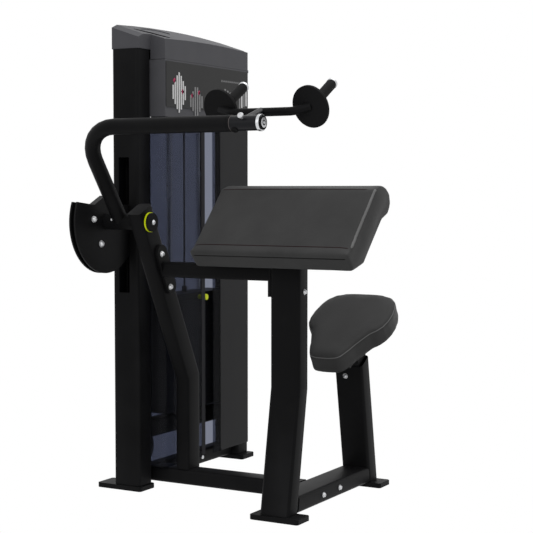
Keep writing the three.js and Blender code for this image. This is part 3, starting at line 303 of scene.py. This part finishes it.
def mark_edges(shape, smooth_deg):
    """Smooths the faces and keeps each edge hard where its faces turn by more than an angle."""
    for face in shape.faces:
        face.smooth = True
    for edge in shape.edges:
        edge.smooth = len(edge.link_faces) == 2 and edge.calc_face_angle(0) < math.radians(smooth_deg)


def refined(name, material, edge_mm=0.8, smooth_deg=32):
    """A smooth-shaded copy of a node with its hard edges rounded, standing for that node."""
    source = nodes[name]
    mesh = source.data.copy()
    piece = bpy.data.objects.new(name + "_fine", mesh)
    bpy.context.scene.collection.objects.link(piece)
    shape = bmesh.new()
    shape.from_mesh(mesh)
    bmesh.ops.remove_doubles(shape, verts=shape.verts, dist=weld_mm * mm)
    bmesh.ops.dissolve_limit(shape, angle_limit=math.radians(flat_deg), verts=shape.verts,
                             edges=shape.edges)
    mark_edges(shape, smooth_deg)
    shape.to_mesh(mesh)
    shape.free()
    if edge_mm:
        bevel = piece.modifiers.new("soft_edges", "BEVEL")
        bevel.width = edge_mm * mm
        bevel.segments = 2
        bevel.limit_method = "ANGLE"
        bevel.angle_limit = math.radians(smooth_deg)
        bevel.harden_normals = True
        bevel.use_clamp_overlap = True
    mesh.materials.clear()
    mesh.materials.append(material)
    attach(piece, body_of_node[name])
    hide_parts(name)
    return piece


def plain_finish(name, material):
    """Keeps a node as it is and gives it a finish."""
    mesh = nodes[name].data
    mesh.materials.clear()
    mesh.materials.append(material)


# %% [markdown]
# ## The frame's tubes, plates and covers
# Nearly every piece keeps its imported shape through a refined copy, with an edge as round as its material
# would have. Beams and brackets inside the tower, the clear shields, the pads' boards, the cables and the
# placard need only a finish.

# %% Refine the frame
painted = ["tower_left_column", "tower_right_column", "tower_left_foot", "tower_right_foot",
           "tower_base_beam", "base_beam", "pivot_strut", "middle_post", "middle_foot", "upper_beam",
           "seat_beam", "seat_post", "seat_foot", "seat_bracket"]
fine = {name: refined(name, frame_paint, 1.2) for name in painted}
fine["top_shroud"] = refined("top_shroud", shroud_plastic, 2.2, 14)
fine["shroud_front_panel"] = refined("shroud_front_panel", shroud_plastic, 1.5, 20)
fine["right_front_cover"] = refined("right_front_cover", cover_plastic, 1.5, 20)
plain_finishes = [
    (frame_paint, ["tower_top_beam", "rod_head_beam", "stack_support_beam", "pulley_bracket_low",
                   "pulley_bracket_upper_left", "pulley_bracket_upper_middle"]),
    (shield_tint, ["front_left_shield", "front_right_shield", "rear_shield"]),
    (board_black, ["seat_board", "arm_board"]),
    (cable_jacket, ["cable_route", "cable_stack_run", "cable_cam_end"]),
    (placard_plastic, ["placard"]),
]
for material, names in plain_finishes:
    for name in names:
        plain_finish(name, material)
soft_finishes = [
    (pulley_plastic, 0.6, ["pulley_low", "pulley_upper_left", "pulley_upper_middle"]),
    (plate_paint, 0.8, ["weight_plates", "stack_head_plate"]),
    (steel, 0.6, ["guide_rod_left", "guide_rod_right", "pivot_shaft", "bearing_bolt"]),
    (rubber, 1.0, ["bumper_left", "bumper_right", "bearing_cap", "spindle_cap"]),
    (lime, 1.0, ["bearing_ring", "selector_pin"]),
    (frame_paint, 0.8, ["lever_tube", "hub_tube", "handle_bar", "spindle_core"]),
    (cam_paint, 0.9, ["cam"]),
    (sleeve_gloss, 0.8, ["handle_sleeve"]),
    (steel, 0.8, ["spindle_ring"]),
    (rubber, 2.0, ["handle_disc_back", "handle_disc_front", "grip_back", "grip_front"]),
]
for material, edge_mm, names in soft_finishes:
    for name in names:
        fine[name] = refined(name, material, edge_mm)
print("refined", len(fine), "pieces")

# %% [markdown]
# ## Turned hardware
# Bolts, rings and pins are turned parts: a profile spun round an axis. One helper makes a piece from its
# points and faces, and another spins a list of (radius, height) points about an axis that starts on a
# face. Points are given in the maker's millimetres. Their zero lies in line with the left column's rear
# face, a little inside its outer side and a little above the floor.

# %% Spin a profile and stand it on a face
column_low, column_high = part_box("tower_left_column")
zero_inset = 5
zero_height = 6
corner = Vector((column_low.x + zero_inset * mm, column_high.y, zero_height * mm))


def at(x, y, z):
    """A point given in the maker's millimetres, in the frame's metres."""
    return corner + Vector((x, y, z)) * mm


def mesh_piece(name, points, faces, material, smooth_deg=35):
    """A piece from points in metres, with its hard edges kept."""
    mesh = bpy.data.meshes.new(name)
    mesh.from_pydata([tuple(p) for p in points], [], faces)
    mesh.validate()
    shape = bmesh.new()
    shape.from_mesh(mesh)
    bmesh.ops.recalc_face_normals(shape, faces=shape.faces)
    mark_edges(shape, smooth_deg)
    shape.to_mesh(mesh)
    shape.free()
    mesh.materials.append(material)
    piece = bpy.data.objects.new(name, mesh)
    bpy.context.scene.collection.objects.link(piece)
    return piece


def spun(name, profile, place, axis, material, body, steps=28):
    """A profile of (radius, height) in millimetres, spun about an axis that starts at a place."""
    turn = Vector(axis).to_track_quat("Z", "X").to_matrix()
    points, faces = [], []
    for radius, height in profile:
        for step in range(steps):
            angle = 2 * math.pi * step / steps
            ray = Vector((radius * math.cos(angle), radius * math.sin(angle), height)) * mm
            points.append(place + turn @ ray)
    for level in range(len(profile) - 1):
        for step in range(steps):
            a, b = level * steps + step, level * steps + (step + 1) % steps
            faces.append((a, b, b + steps, a + steps))
    faces.append(tuple(range(steps)))
    faces.append(tuple((len(profile) - 1) * steps + step for step in range(steps)))
    piece = mesh_piece(name, points, faces, material)
    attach(piece, body)


# %% [markdown]
# ## Domed bolts
# Button-head bolts with washers hold the cam, the flanges and the posts, and a small one stands for the
# hub's grub screw. Each has a flat washer, a dome and a socket in its middle, so the profile goes up over
# the dome and down into the socket.

# %% Fit the bolts
def button_bolt(name, place, axis, radius, body):
    """A washer, a dome and a drive socket, in one turned profile."""
    washer, head, rise = 0.16 * radius, 0.88 * radius, 0.9 * radius
    dome = [(head * math.cos(a), washer + rise * math.sin(a)) for a in (0.3, 0.6, 0.9, 1.15)]
    rim = 0.2 * radius
    drive = [(rim, washer + rise), (rim * 0.9, washer + rise * 0.45)]
    profile = [(radius, 0.0), (radius, washer), (head, washer), *dome, *drive]
    spun(name, profile, place, axis, bright, body)


toward_seat = (0.0, -1.0, 0.0)
bolts = [
    ("cam_bolt_upper", at(-191, -62, 885), toward_seat, 10.8, "lever"),
    ("cam_bolt_lower", at(-153, -62, 807), toward_seat, 10.8, "lever"),
    ("flange_bolt_upper", at(-71, -235.3, 775.5), toward_seat, 9.5, "frame"),
    ("flange_bolt_lower", at(-23.6, -235.3, 669.5), toward_seat, 9.5, "frame"),
    ("post_bolt", at(-38, -724, 672), toward_seat, 8.5, "frame"),
    ("seat_beam_bolt_left", at(90, -724, 35), toward_seat, 8.5, "frame"),
    ("seat_beam_bolt_right", at(202, -724, 36.5), toward_seat, 8.5, "frame"),
    ("seat_post_bolt", at(366.6, -662.4, 367.5), (-0.99, 0.0, -0.17), 8.5, "frame"),
    ("hub_grub_screw", at(-145.8, -97.6, 883.3), (-0.96, 0.0, 0.29), 4.5, "lever"),
]
for name, place, axis, radius, body in bolts:
    button_bolt(name, place, axis, radius, body)
print("bolts", len(bolts))

# %% [markdown]
# ## Pads as inflated covers
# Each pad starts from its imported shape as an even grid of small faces, and a little smaller. The cover is
# then cloth with air pressed into it and no gravity. The raw cloth wrinkles and swells too far, so only
# the outward part of each point's move is used: it is capped, and evened out between neighbours. The
# points that face the board go back to where they lay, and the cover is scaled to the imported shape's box
# with a small margin, so that the pad keeps to its own space. Seams and piping are laid on the finished
# skin.

# %% Swell a cover with air
air_pressure = 4.0
cloth_stiffness = 40.0
cloth_steps = 20
evening_passes = 12


def applied(piece):
    """A new mesh of a piece as its modifiers shape it; the modifiers are then removed."""
    mesh = bpy.data.meshes.new_from_object(piece.evaluated_get(bpy.context.evaluated_depsgraph_get()))
    piece.modifiers.clear()
    return mesh


def blow_up(piece, cap_mm):
    """Swells a piece as cloth, and keeps the outward part of the swell, capped and evened out."""
    mesh = piece.data
    start = [vert.co.copy() for vert in mesh.vertices]
    cloth = piece.modifiers.new("cloth", "CLOTH")
    cloth.settings.use_pressure = True
    cloth.settings.uniform_pressure_force = air_pressure
    cloth.settings.effector_weights.gravity = 0.0
    cloth.settings.tension_stiffness = cloth_stiffness
    cloth.settings.compression_stiffness = cloth_stiffness
    cloth.point_cache.frame_start = 1
    cloth.point_cache.frame_end = cloth_steps
    for step in range(1, cloth_steps + 1):
        bpy.context.scene.frame_set(step)
    blown = applied(piece)
    bpy.context.scene.frame_set(1)
    swell = [max(0.0, min(cap_mm * mm, (last.co - first).dot(vert.normal)))
             for vert, first, last in zip(mesh.vertices, start, blown.vertices)]
    near = [[] for _ in start]
    for edge in mesh.edges:
        one, other = edge.vertices
        near[one].append(other)
        near[other].append(one)
    for _ in range(evening_passes):
        swell = [(rise + sum(swell[other] for other in around)) / (1 + len(around))
                 for rise, around in zip(swell, near)]
    normals = [vert.normal.copy() for vert in mesh.vertices]
    for vert, first, normal, rise in zip(mesh.vertices, start, normals, swell):
        vert.co = first + normal * rise
    moved = [rise / mm for rise in swell]
    print(piece.name, "swells by mm", round(sum(moved) / len(moved), 2), "at most", round(max(moved), 2))


# %% Fit a cover to its box
def fit_box(mesh, low, high, margins):
    """Scales a mesh to a box, with a margin in millimetres before and after it along each axis."""
    for axis, (before, after) in enumerate(margins):
        places = [vert.co[axis] for vert in mesh.vertices]
        first, last = min(places), max(places)
        goal_low, goal_high = low[axis] - before * mm, high[axis] + after * mm
        for vert in mesh.vertices:
            share = (vert.co[axis] - first) / (last - first)
            vert.co[axis] = goal_low + share * (goal_high - goal_low)


# %% Inflate the two pads
voxel_mm = 5
smooth_passes = 4
resting_cosine = 0.9


def inflated(name, shrink_mm, cap_mm, base, margins):
    """A pad that stands for a node: shrunk, blown up as cloth and made smooth, flat where it rests."""
    bare = bpy.data.objects.new(name + "_cover", nodes[name].data.copy())
    bpy.context.scene.collection.objects.link(bare)
    bare.data.materials.clear()
    grid = bare.modifiers.new("grid", "REMESH")
    grid.mode = "VOXEL"
    grid.voxel_size = voxel_mm * mm
    mesh = applied(bare)
    bare.data = mesh
    shape = bmesh.new()
    shape.from_mesh(mesh)
    for _ in range(smooth_passes):
        bmesh.ops.smooth_vert(shape, verts=shape.verts, factor=0.5, use_axis_x=True, use_axis_y=True,
                              use_axis_z=True)
    shape.normal_update()
    rest = [vert.co.copy() for vert in shape.verts]
    resting = [vert.normal.dot(base) > resting_cosine for vert in shape.verts]
    for vert in shape.verts:
        vert.co -= vert.normal * shrink_mm * mm
    shape.to_mesh(mesh)
    shape.free()
    blow_up(bare, cap_mm)
    for vert, place, flat in zip(mesh.vertices, rest, resting):
        if flat:
            vert.co = place
    low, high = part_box(name)
    fit_box(mesh, low, high, margins)
    finer = bare.modifiers.new("finer", "SUBSURF")
    finer.levels = finer.render_levels = 1
    done = applied(bare)
    bare.data = done
    for face in done.polygons:
        face.use_smooth = True
    done.materials.append(pad_vinyl)
    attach(bare, body_of_node[name])
    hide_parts(name)
    over = [max(a - min(v.co[i] for v in done.vertices), max(v.co[i] for v in done.vertices) - b)
            for i, (a, b) in enumerate(zip(low, high))]
    print(name, "stands out by mm", [round(o / mm, 1) for o in over])
    return bare


tilt = math.radians(30)
seat_up = Vector((-math.sin(tilt), 0.0, math.cos(tilt)))
arm_base = Vector((0.71, 0.0, -0.7))
arm_cover = inflated("arm_pad", 1.5, 4.5, arm_base, ((0.5, 2.5), (0.5, 0.5), (3.0, 1.0)))
seat_cover = inflated("seat_pad", 1.5, 4.0, -seat_up, ((2.0, 2.0), (1.5, 1.5), (1.5, 1.0)))

# %% [markdown]
# ## Creases and piping
# Stitched creases are thin dark tubes sunk about half into the skin, and their dark colour is painted shade
# for the creases. Piping is a paler tube that is sunk less, and its pale colour is a painted highlight on
# the rounded edge. Each follows a line of points drawn onto the nearest place of the pad.

# %% Lay tubes on the pads
tube_sides = 8
end_share = 0.35


def skin_tube(name, cover, points, radius, sink, material, body, closed=False):
    """A tube along points that are drawn onto a cover's skin and sunk a little."""
    seats = []
    for point in points:
        _, place, normal, _ = cover.closest_point_on_mesh(point)
        seats.append((place - normal * sink * mm, normal.copy()))
    count = len(seats)
    verts, faces = [], []
    for index, (place, normal) in enumerate(seats):
        before = seats[(index - 1) % count if closed else max(index - 1, 0)][0]
        after = seats[(index + 1) % count if closed else min(index + 1, count - 1)][0]
        along = (after - before).normalized()
        side = along.cross(normal).normalized()
        up = side.cross(along)
        ends = end_share if not closed and index in (0, count - 1) else 1.0
        for step in range(tube_sides):
            angle = 2 * math.pi * step / tube_sides
            verts.append(place + (side * math.cos(angle) + up * math.sin(angle)) * radius * ends * mm)
    for index in range(count if closed else count - 1):
        following = (index + 1) % count
        for step in range(tube_sides):
            a, b = index * tube_sides + step, index * tube_sides + (step + 1) % tube_sides
            c, d = following * tube_sides + (step + 1) % tube_sides, following * tube_sides + step
            faces.append((a, b, c, d))
    if not closed:
        faces.append(tuple(range(tube_sides)))
        faces.append(tuple((count - 1) * tube_sides + step for step in range(tube_sides)))
    tube = mesh_piece(name, verts, faces, material, smooth_deg=60)
    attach(tube, body)


def run(start, end, count=48):
    """Evenly spaced points between two places in the maker's millimetres."""
    return [at(*start).lerp(at(*end), step / (count - 1)) for step in range(count)]


arm_seams = [
    # The dark tubes paint the shade in the arm pad's creases.
    ("arm_crease_lower", (-165, -407, 782), (-165, -931, 782), 2.0, 0.9, dark_seam_shade_vinyl),
    ("arm_crease_upper", (-151, -407, 810), (-151, -931, 810), 2.2, 1.1, red_crease_shade_vinyl),
    ("arm_crease_roll", (6, -407, 977), (6, -915, 977), 2.3, 1.2, red_crease_shade_vinyl),
    # The pale tube paints the highlight on the arm pad's rounded end edge.
    ("arm_end_piping", (14, -935, 984), (-150, -935, 815), 4.0, 1.4, piping_highlight_vinyl),
]
for name, start, end, radius, sink, material in arm_seams:
    skin_tube(name, arm_cover, run(start, end), radius, sink, material, "frame")
print("seams on the arm pad", len(arm_seams))

# %% [markdown]
# ## Loops round the seat
# The seat's piping and its lower seam run level round the tilted pad. A plane with the seat's tilt cuts
# the finished cover, and the cut's points, taken in order, are the path of the tube.

# %% Cut a level loop and lay the seat's two
def level_loop(cover, place, normal):
    """The points where a plane cuts a cover, in order round it."""
    shape = bmesh.new()
    shape.from_mesh(cover.data)
    cut = bmesh.ops.bisect_plane(shape, geom=shape.verts[:] + shape.edges[:] + shape.faces[:],
                                 plane_co=place, plane_no=normal)["geom_cut"]
    edges = [item for item in cut if isinstance(item, bmesh.types.BMEdge)]
    near = {}
    for edge in edges:
        for vert, other in (edge.verts, reversed(edge.verts)):
            near.setdefault(vert, []).append(other)
    first = edges[0].verts[0]
    loop, here, last = [first.co.copy()], near[first][0], first
    while here is not first:
        loop.append(here.co.copy())
        here, last = next(v for v in near[here] if v is not last), here
    shape.free()
    return loop


seat_low, seat_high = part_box("seat_pad")
seat_middle = (seat_low.y + seat_high.y) / 2
seat_top = at(364, 0, 560)
seat_top.y = seat_middle
piping_drop = 7.5
seam_drop = 61
# The pale piping loop paints the highlight along the seat's top edge.
rim = level_loop(seat_cover, seat_top - seat_up * piping_drop * mm, seat_up)
skin_tube("seat_rim_piping_highlight", seat_cover, rim[::2], 1.5, 0.5, piping_highlight_vinyl, "frame", closed=True)
# The dark lower loop paints the shade in the seat's seam.
under = level_loop(seat_cover, seat_top - seat_up * seam_drop * mm, seat_up)
skin_tube("seat_under_seam_shade", seat_cover, under[::2], 1.3, 0.6, dark_seam_shade_vinyl, "frame", closed=True)
print("loop points", len(rim), len(under))

# %% [markdown]
# ## Turned trim on the handle
# The sleeve ends in a knurled ring and a cap with a bright washer and bolt. A thin steel edge marks where
# it meets the lever's tube, a pull pin stands on its side and a round clamp sits under it. All of them
# are turned forms, so each is a short profile spun about the axle or about its own way out.

# %% Trim the sleeve
axle_x, axle_z = -324, 1163
fine_steps, ring_steps, bolt_steps = 48, 36, 24
edge_profile = [(21.6, 0), (22.9, 0.5), (22.9, 1.8), (21.6, 2.3)]
edge_back = at(axle_x, -644.6, axle_z)
spun("sleeve_edge", edge_profile, edge_back, toward_seat, dull_steel, "lever", fine_steps)
knurl_ribs = 5
knurl_pitch = 1.9
ribs = []
for rib in range(knurl_ribs):
    foot = rib * knurl_pitch
    ribs += [(22.1, foot), (23.2, foot + 0.6), (23.2, foot + 1.3)]
knurl_profile = [(21, 0), *ribs, (21, 9.8)]
knurl_back = at(axle_x, -733.2, axle_z)
spun("sleeve_knurl", knurl_profile, knurl_back, toward_seat, steel, "lever", fine_steps)
cap_front = at(axle_x, -747.0, axle_z)
ring_profile = [(14.2, -1), (14.2, 0.7), (13, 1.1), (8, 1.1), (7.6, -1)]
spun("cap_ring", ring_profile, cap_front, toward_seat, bright, "lever", ring_steps)
bolt_profile = [(4.2, -1), (4.2, 1.6), (3.4, 2.3), (1.8, 2.5), (1.5, 0.8)]
spun("cap_bolt", bolt_profile, cap_front, toward_seat, steel, "lever", bolt_steps)
pin_way = Vector((-0.8, 0.0, 0.59)).normalized()
pin_reach = 21.5
pin_profile = [(4.2, -3), (4.3, 1), (5.6, 4), (8.8, 11), (9.2, 13), (7.8, 16), (3.0, 17), (2.4, 15.4)]
pin_foot = at(axle_x, -688, axle_z) + pin_way * pin_reach * mm
spun("pull_pin", pin_profile, pin_foot, pin_way, bright, "handle")
clamp_way = Vector((-0.5, 0.0, -0.86))
clamp_reach = 20
clamp_profile = [(11, -6), (11, 4), (9.5, 5.6), (4.0, 6), (3.4, 4.5)]
clamp_foot = at(axle_x, -660, axle_z) + clamp_way * clamp_reach * mm
spun("sleeve_clamp", clamp_profile, clamp_foot, clamp_way, rubber, "handle")
print("sleeve trimmed")

# %% [markdown]
# ## Ends and ribs of the grips
# Each rubber grip ends in a polished ring. The fine ribs along it are a guess: rubber grips mostly have
# some. The grip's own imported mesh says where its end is, so the trim follows a longer or shorter grip.

# %% Trim the grips
grip_way = (0.866, 0.0, 0.5)
grip_radius = 15
grip_ribs = 22
grip_rib_pitch = 3.5
grip_rib_start = -14
rib_rise, rib_floor = 0.55, 0.1
end_depth = 0.5


def tip(name, direction):
    """The middle of a turned node's far end, looking along a direction."""
    way = Vector(direction).normalized()
    verts = [vert.co for vert in nodes[name].data.vertices]
    far = max(co.dot(way) for co in verts)
    end = [co for co in verts if co.dot(way) > far - end_depth * mm]
    return sum((co.copy() for co in end), Vector()) / len(end), way


for side in ("back", "front"):
    end, way = tip("grip_" + side, grip_way)
    end_profile = [(grip_radius, -7), (grip_radius + 1.4, -6.2), (grip_radius + 1.4, 0.5),
                   (grip_radius - 1.5, 2.6), (grip_radius - 5, 3.2), (grip_radius - 6, 2.0), (2, 1.6)]
    spun("grip_ring_" + side, end_profile, end, way, bright, "handle", ring_steps)
    turns = [(grip_radius + (rib_rise if rib % 2 else rib_floor), grip_rib_start - rib * grip_rib_pitch)
             for rib in range(grip_ribs)]
    spun("grip_ribs_" + side, list(reversed(turns)), end, way, rubber, "handle", ring_steps)
print("grips trimmed, ribs", grip_ribs)

# %% [markdown]
# ## The placard's print
# The placard carries a plain pattern in white and light grey with small magenta accents: two clusters
# of upright bars on the left, and a row of dots over two groups of bars on the right. Each form is a thin
# flat shape laid just proud of the placard's face, so that the print is a mesh of its own and not an image.

# %% Print the pattern
print_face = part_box("placard")[0].y
print_lift = 0.25
print_sink = 0.1


def flat_shape(name, outline, material):
    """A thin flat shape on the placard, from an outline in the maker's X and Z."""
    front = [Vector((at(x, 0, z).x, print_face - print_lift * mm, at(x, 0, z).z)) for x, z in outline]
    back = [Vector((v.x, print_face + print_sink * mm, v.z)) for v in front]
    count = len(front)
    faces = [tuple(range(count)), tuple(reversed(range(count, 2 * count)))]
    faces += [(i, (i + 1) % count, count + (i + 1) % count, count + i) for i in range(count)]
    shape = mesh_piece(name, front + back, faces, material)
    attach(shape, "frame")


def lozenge(x, z, wide, tall):
    """Four corners round a middle."""
    return [(x - wide, z), (x, z + tall), (x + wide, z), (x, z - tall)]


def slab(x, z, wide, tall):
    """The four corners of an upright bar that stands on its foot."""
    return [(x, z), (x + wide, z), (x + wide, z + tall), (x, z + tall)]


marks = []
for step, height in enumerate((46, 78, 110, 132, 110, 78, 46)):
    marks.append((slab(120 + step * 12, 1296 - height / 2, 7.5, height), print_white))
for step, height in enumerate((40, 66, 96, 96, 66, 40)):
    marks.append((slab(226 + step * 14, 1272 - height / 2, 8, height), print_grey))
for x, z in ((132, 1334), (180, 1300), (240, 1290), (282, 1302)):
    marks.append((lozenge(x, z, 9, 9), print_magenta))
for step in range(14):
    marks.append((lozenge(430 + step * 13.5, 1352, 4.5, 4.5), print_grey))
for step in range(5):
    marks.append((slab(446 + step * 17, 1286, 10, 40 - 5 * step), print_grey))
for step in range(4):
    marks.append((slab(545 + step * 15, 1262 + 4 * step, 9, 62), print_white if step % 2 else print_grey))
for index, (outline, material) in enumerate(marks):
    flat_shape("print_%02d" % index, outline, material)
print("printed", len(marks), "marks")

# %% [markdown]
# ## Small things on the tower
# The shroud's roof has a long hollow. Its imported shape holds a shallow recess, and a dark skin drawn onto
# the roof there stands for the hollow's shade. Screws hold the front covers, and one more bolt sits low
# at the base. The left shield has a strip along its edge. Two thin strips close the seam over the
# shroud's panel and the gap over the shields, so that no backdrop shows through.

# %% Lay the dark skin in the roof's hollow
lens_middle = at(97, -88, 1487.2)
lens_along = Vector((0.64, -0.74, -0.23)).normalized()
roof_up = Vector((-0.045, -0.318, 0.947)).normalized()
lens_side = roof_up.cross(lens_along).normalized()
lens_reach = 60
lens_half_width = 10
lens_flare = 4
lens_lift = 0.5
lens_inner_rings = 7
lens_spots = 40
_, place, normal, _ = fine["top_shroud"].closest_point_on_mesh(lens_middle)
lens_points, lens_faces = [place + normal * lens_lift * mm], []
rings = [(ring / lens_inner_rings, 0.6) for ring in range(1, lens_inner_rings)] + [(1.0, 1.0), (1.04, -0.3)]
for share, lift in rings:
    for spot in range(lens_spots):
        angle = 2 * math.pi * spot / lens_spots
        reach = lens_reach * share * math.cos(angle)
        across = (lens_half_width + lens_flare * math.cos(angle)) * share * math.sin(angle)
        guess = lens_middle + (lens_along * reach + lens_side * across) * mm
        _, place, normal, _ = fine["top_shroud"].closest_point_on_mesh(guess)
        lens_points.append(place + normal * lift * mm)
for spot in range(lens_spots):
    after = (spot + 1) % lens_spots
    lens_faces.append((0, 1 + spot, 1 + after))
    for ring in range(len(rings) - 1):
        a, b = 1 + ring * lens_spots + spot, 1 + ring * lens_spots + after
        lens_faces.append((a, b, b + lens_spots, a + lens_spots))
# The skin's dark colour is painted shade, laid where the hollow lies in shade.
lens = mesh_piece("roof_hollow_shade", lens_points, lens_faces, hollow_shade_skin, smooth_deg=80)
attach(lens, "frame")
print("hollow faces", len(lens_faces))

# %% Fit the screws and the shield's edge
screw_profile = [(6.0, 0), (6.0, 1.2), (5.2, 3.0), (3.6, 4.0), (2.2, 4.2), (2.0, 2.6)]
screws = [("cover_screw_left", (301, -150.2, 61), steel), ("cover_screw_right", (418, -150.2, 66), rubber),
          ("base_bolt", (88.8, -75.2, 27), rubber)]
for name, place, material in screws:
    spun(name, screw_profile, at(*place), toward_seat, material, "frame")
shield_low, shield_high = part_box("front_left_shield")
strip_right = shield_high.x - 1 * mm
strip_left = shield_high.x - 23 * mm
strip_back = shield_low.y + 0.3 * mm
strip_front = shield_low.y - 0.5 * mm
strip_end_gap = 4 * mm
strip_plan = [(strip_left, strip_back), (strip_right, strip_back), (strip_right, strip_front),
              (strip_left, strip_front)]
strip = [Vector((x, y, z)) for z in (shield_low.z + strip_end_gap, shield_high.z - strip_end_gap)
         for x, y in strip_plan]
strip_faces = [(0, 1, 2, 3), (7, 6, 5, 4), (0, 4, 5, 1), (1, 5, 6, 2), (2, 6, 7, 3), (3, 7, 4, 0)]
edge_strip = mesh_piece("shield_edge_strip", strip, strip_faces, strip_plastic)
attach(edge_strip, "frame")
print("screws", len(screws))

# %% Close the seam and the gap
filler_thick = 1.2 * mm
filler_end_gap = 4 * mm
seam_overlap = 5 * mm
gap_overlap = 4 * mm


def filler(name, low, high, inset, end, material):
    """A thin strip just inside the front covers' plan line, between two heights."""
    line = [(73 + inset, -96), (80 + inset * 1.1, -150 + inset), (120, -150 + inset)]
    outer = [at(x, y, 0) for x, y in line]
    outer[-1].x = end - filler_end_gap
    inner = [point + Vector((filler_thick, filler_thick, 0.0)) for point in outer]
    points = [Vector((p.x, p.y, z)) for z in (low, high) for p in outer + inner[::-1]]
    count = len(outer) + len(inner)
    faces = [(5, 4, 1, 0), (4, 3, 2, 1), (6, 7, 10, 11), (7, 8, 9, 10)]
    faces += [(i, (i + 1) % count, count + (i + 1) % count, count + i) for i in range(count)]
    strip_piece = mesh_piece(name, points, faces, material)
    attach(strip_piece, "frame")


panel_low, panel_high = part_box("shroud_front_panel")
filler("shroud_seam_filler", panel_high.z - seam_overlap, panel_high.z + seam_overlap, 1.0, panel_high.x,
       shroud_plastic)
filler("shield_top_filler", shield_high.z - gap_overlap, panel_low.z + gap_overlap, 4.2, shield_high.x,
       strip_plastic)
print("tower dressed")

# %% [markdown]
# ## The studio
# The machine stands before an even white backdrop, which the camera, reflections and clear sheets see at
# full strength and which lights the machine itself less. Broad soft lamps from the front and above do
# the rest.

# %% Set the backdrop and the lamps
def area_lamp(name, place, toward, size, power):
    """A square soft lamp aimed at a point."""
    light = bpy.data.lights.new(name, "AREA")
    light.shape = "SQUARE"
    light.size = size
    light.energy = power
    lamp = bpy.data.objects.new(name, light)
    bpy.context.scene.collection.objects.link(lamp)
    lamp.location = place
    lamp.rotation_euler = (Vector(toward) - Vector(place)).to_track_quat("-Z", "Y").to_euler()


world = bpy.data.worlds.new("studio_world")
bpy.context.scene.world = world
world.use_nodes = True
tree = world.node_tree
background = tree.nodes["Background"]
path = tree.nodes.new("ShaderNodeLightPath")
camera_ray = Value(tree, path.outputs["Is Camera Ray"])
glossy_ray = Value(tree, path.outputs["Is Glossy Ray"])
through_ray = Value(tree, path.outputs["Is Transmission Ray"])
seen_rays = camera_ray + glossy_ray + through_ray
direct = seen_rays.math("MINIMUM", seen_rays, 1.0)
room_light = 0.4
strength = direct * (1 - room_light) + room_light
background.inputs["Color"].default_value = (1.0, 1.0, 1.0, 1.0)
tree.links.new(strength.socket, background.inputs["Strength"])
area_lamp("key_lamp", (-3.9, -1.4, 3.4), (0.0, 0.0, 0.8), 2.4, 37)
area_lamp("fill_lamp", (-3.6, 0.8, 2.2), (0.0, 0.2, 0.9), 2.0, 8)
area_lamp("top_lamp", (0.6, -0.6, 3.6), (0.0, 0.0, 0.6), 2.2, 30)
print("lamps lit")

# %% [markdown]
# ## The camera
# Vanishing points in the photograph give the eye's place, its heading and a focal length of 1365 pixels
# across a frame of 533. The place was found from the tower's left column, so it is moved here by the
# same offset as the frame's origin.

# %% Place the camera
frame_pixels = 533
focal_pixels = 1365
eye = Vector((-3629.15, -2625.85, 977.5)) * mm
heading = math.radians(29.5)
pitch = math.radians(3.23)
level = math.cos(pitch)
forward = Vector((math.cos(heading) * level, math.sin(heading) * level, -math.sin(pitch)))
optics = bpy.data.cameras.new("photo_camera")
optics.sensor_width = 36.0
optics.lens = optics.sensor_width * focal_pixels / frame_pixels
optics.clip_end = 100.0
camera = bpy.data.objects.new("photo_camera", optics)
bpy.context.scene.collection.objects.link(camera)
camera.location = eye + corner
camera.rotation_euler = forward.to_track_quat("-Z", "Y").to_euler()
bpy.context.scene.camera = camera
bpy.context.scene.view_settings.view_transform = "Standard"
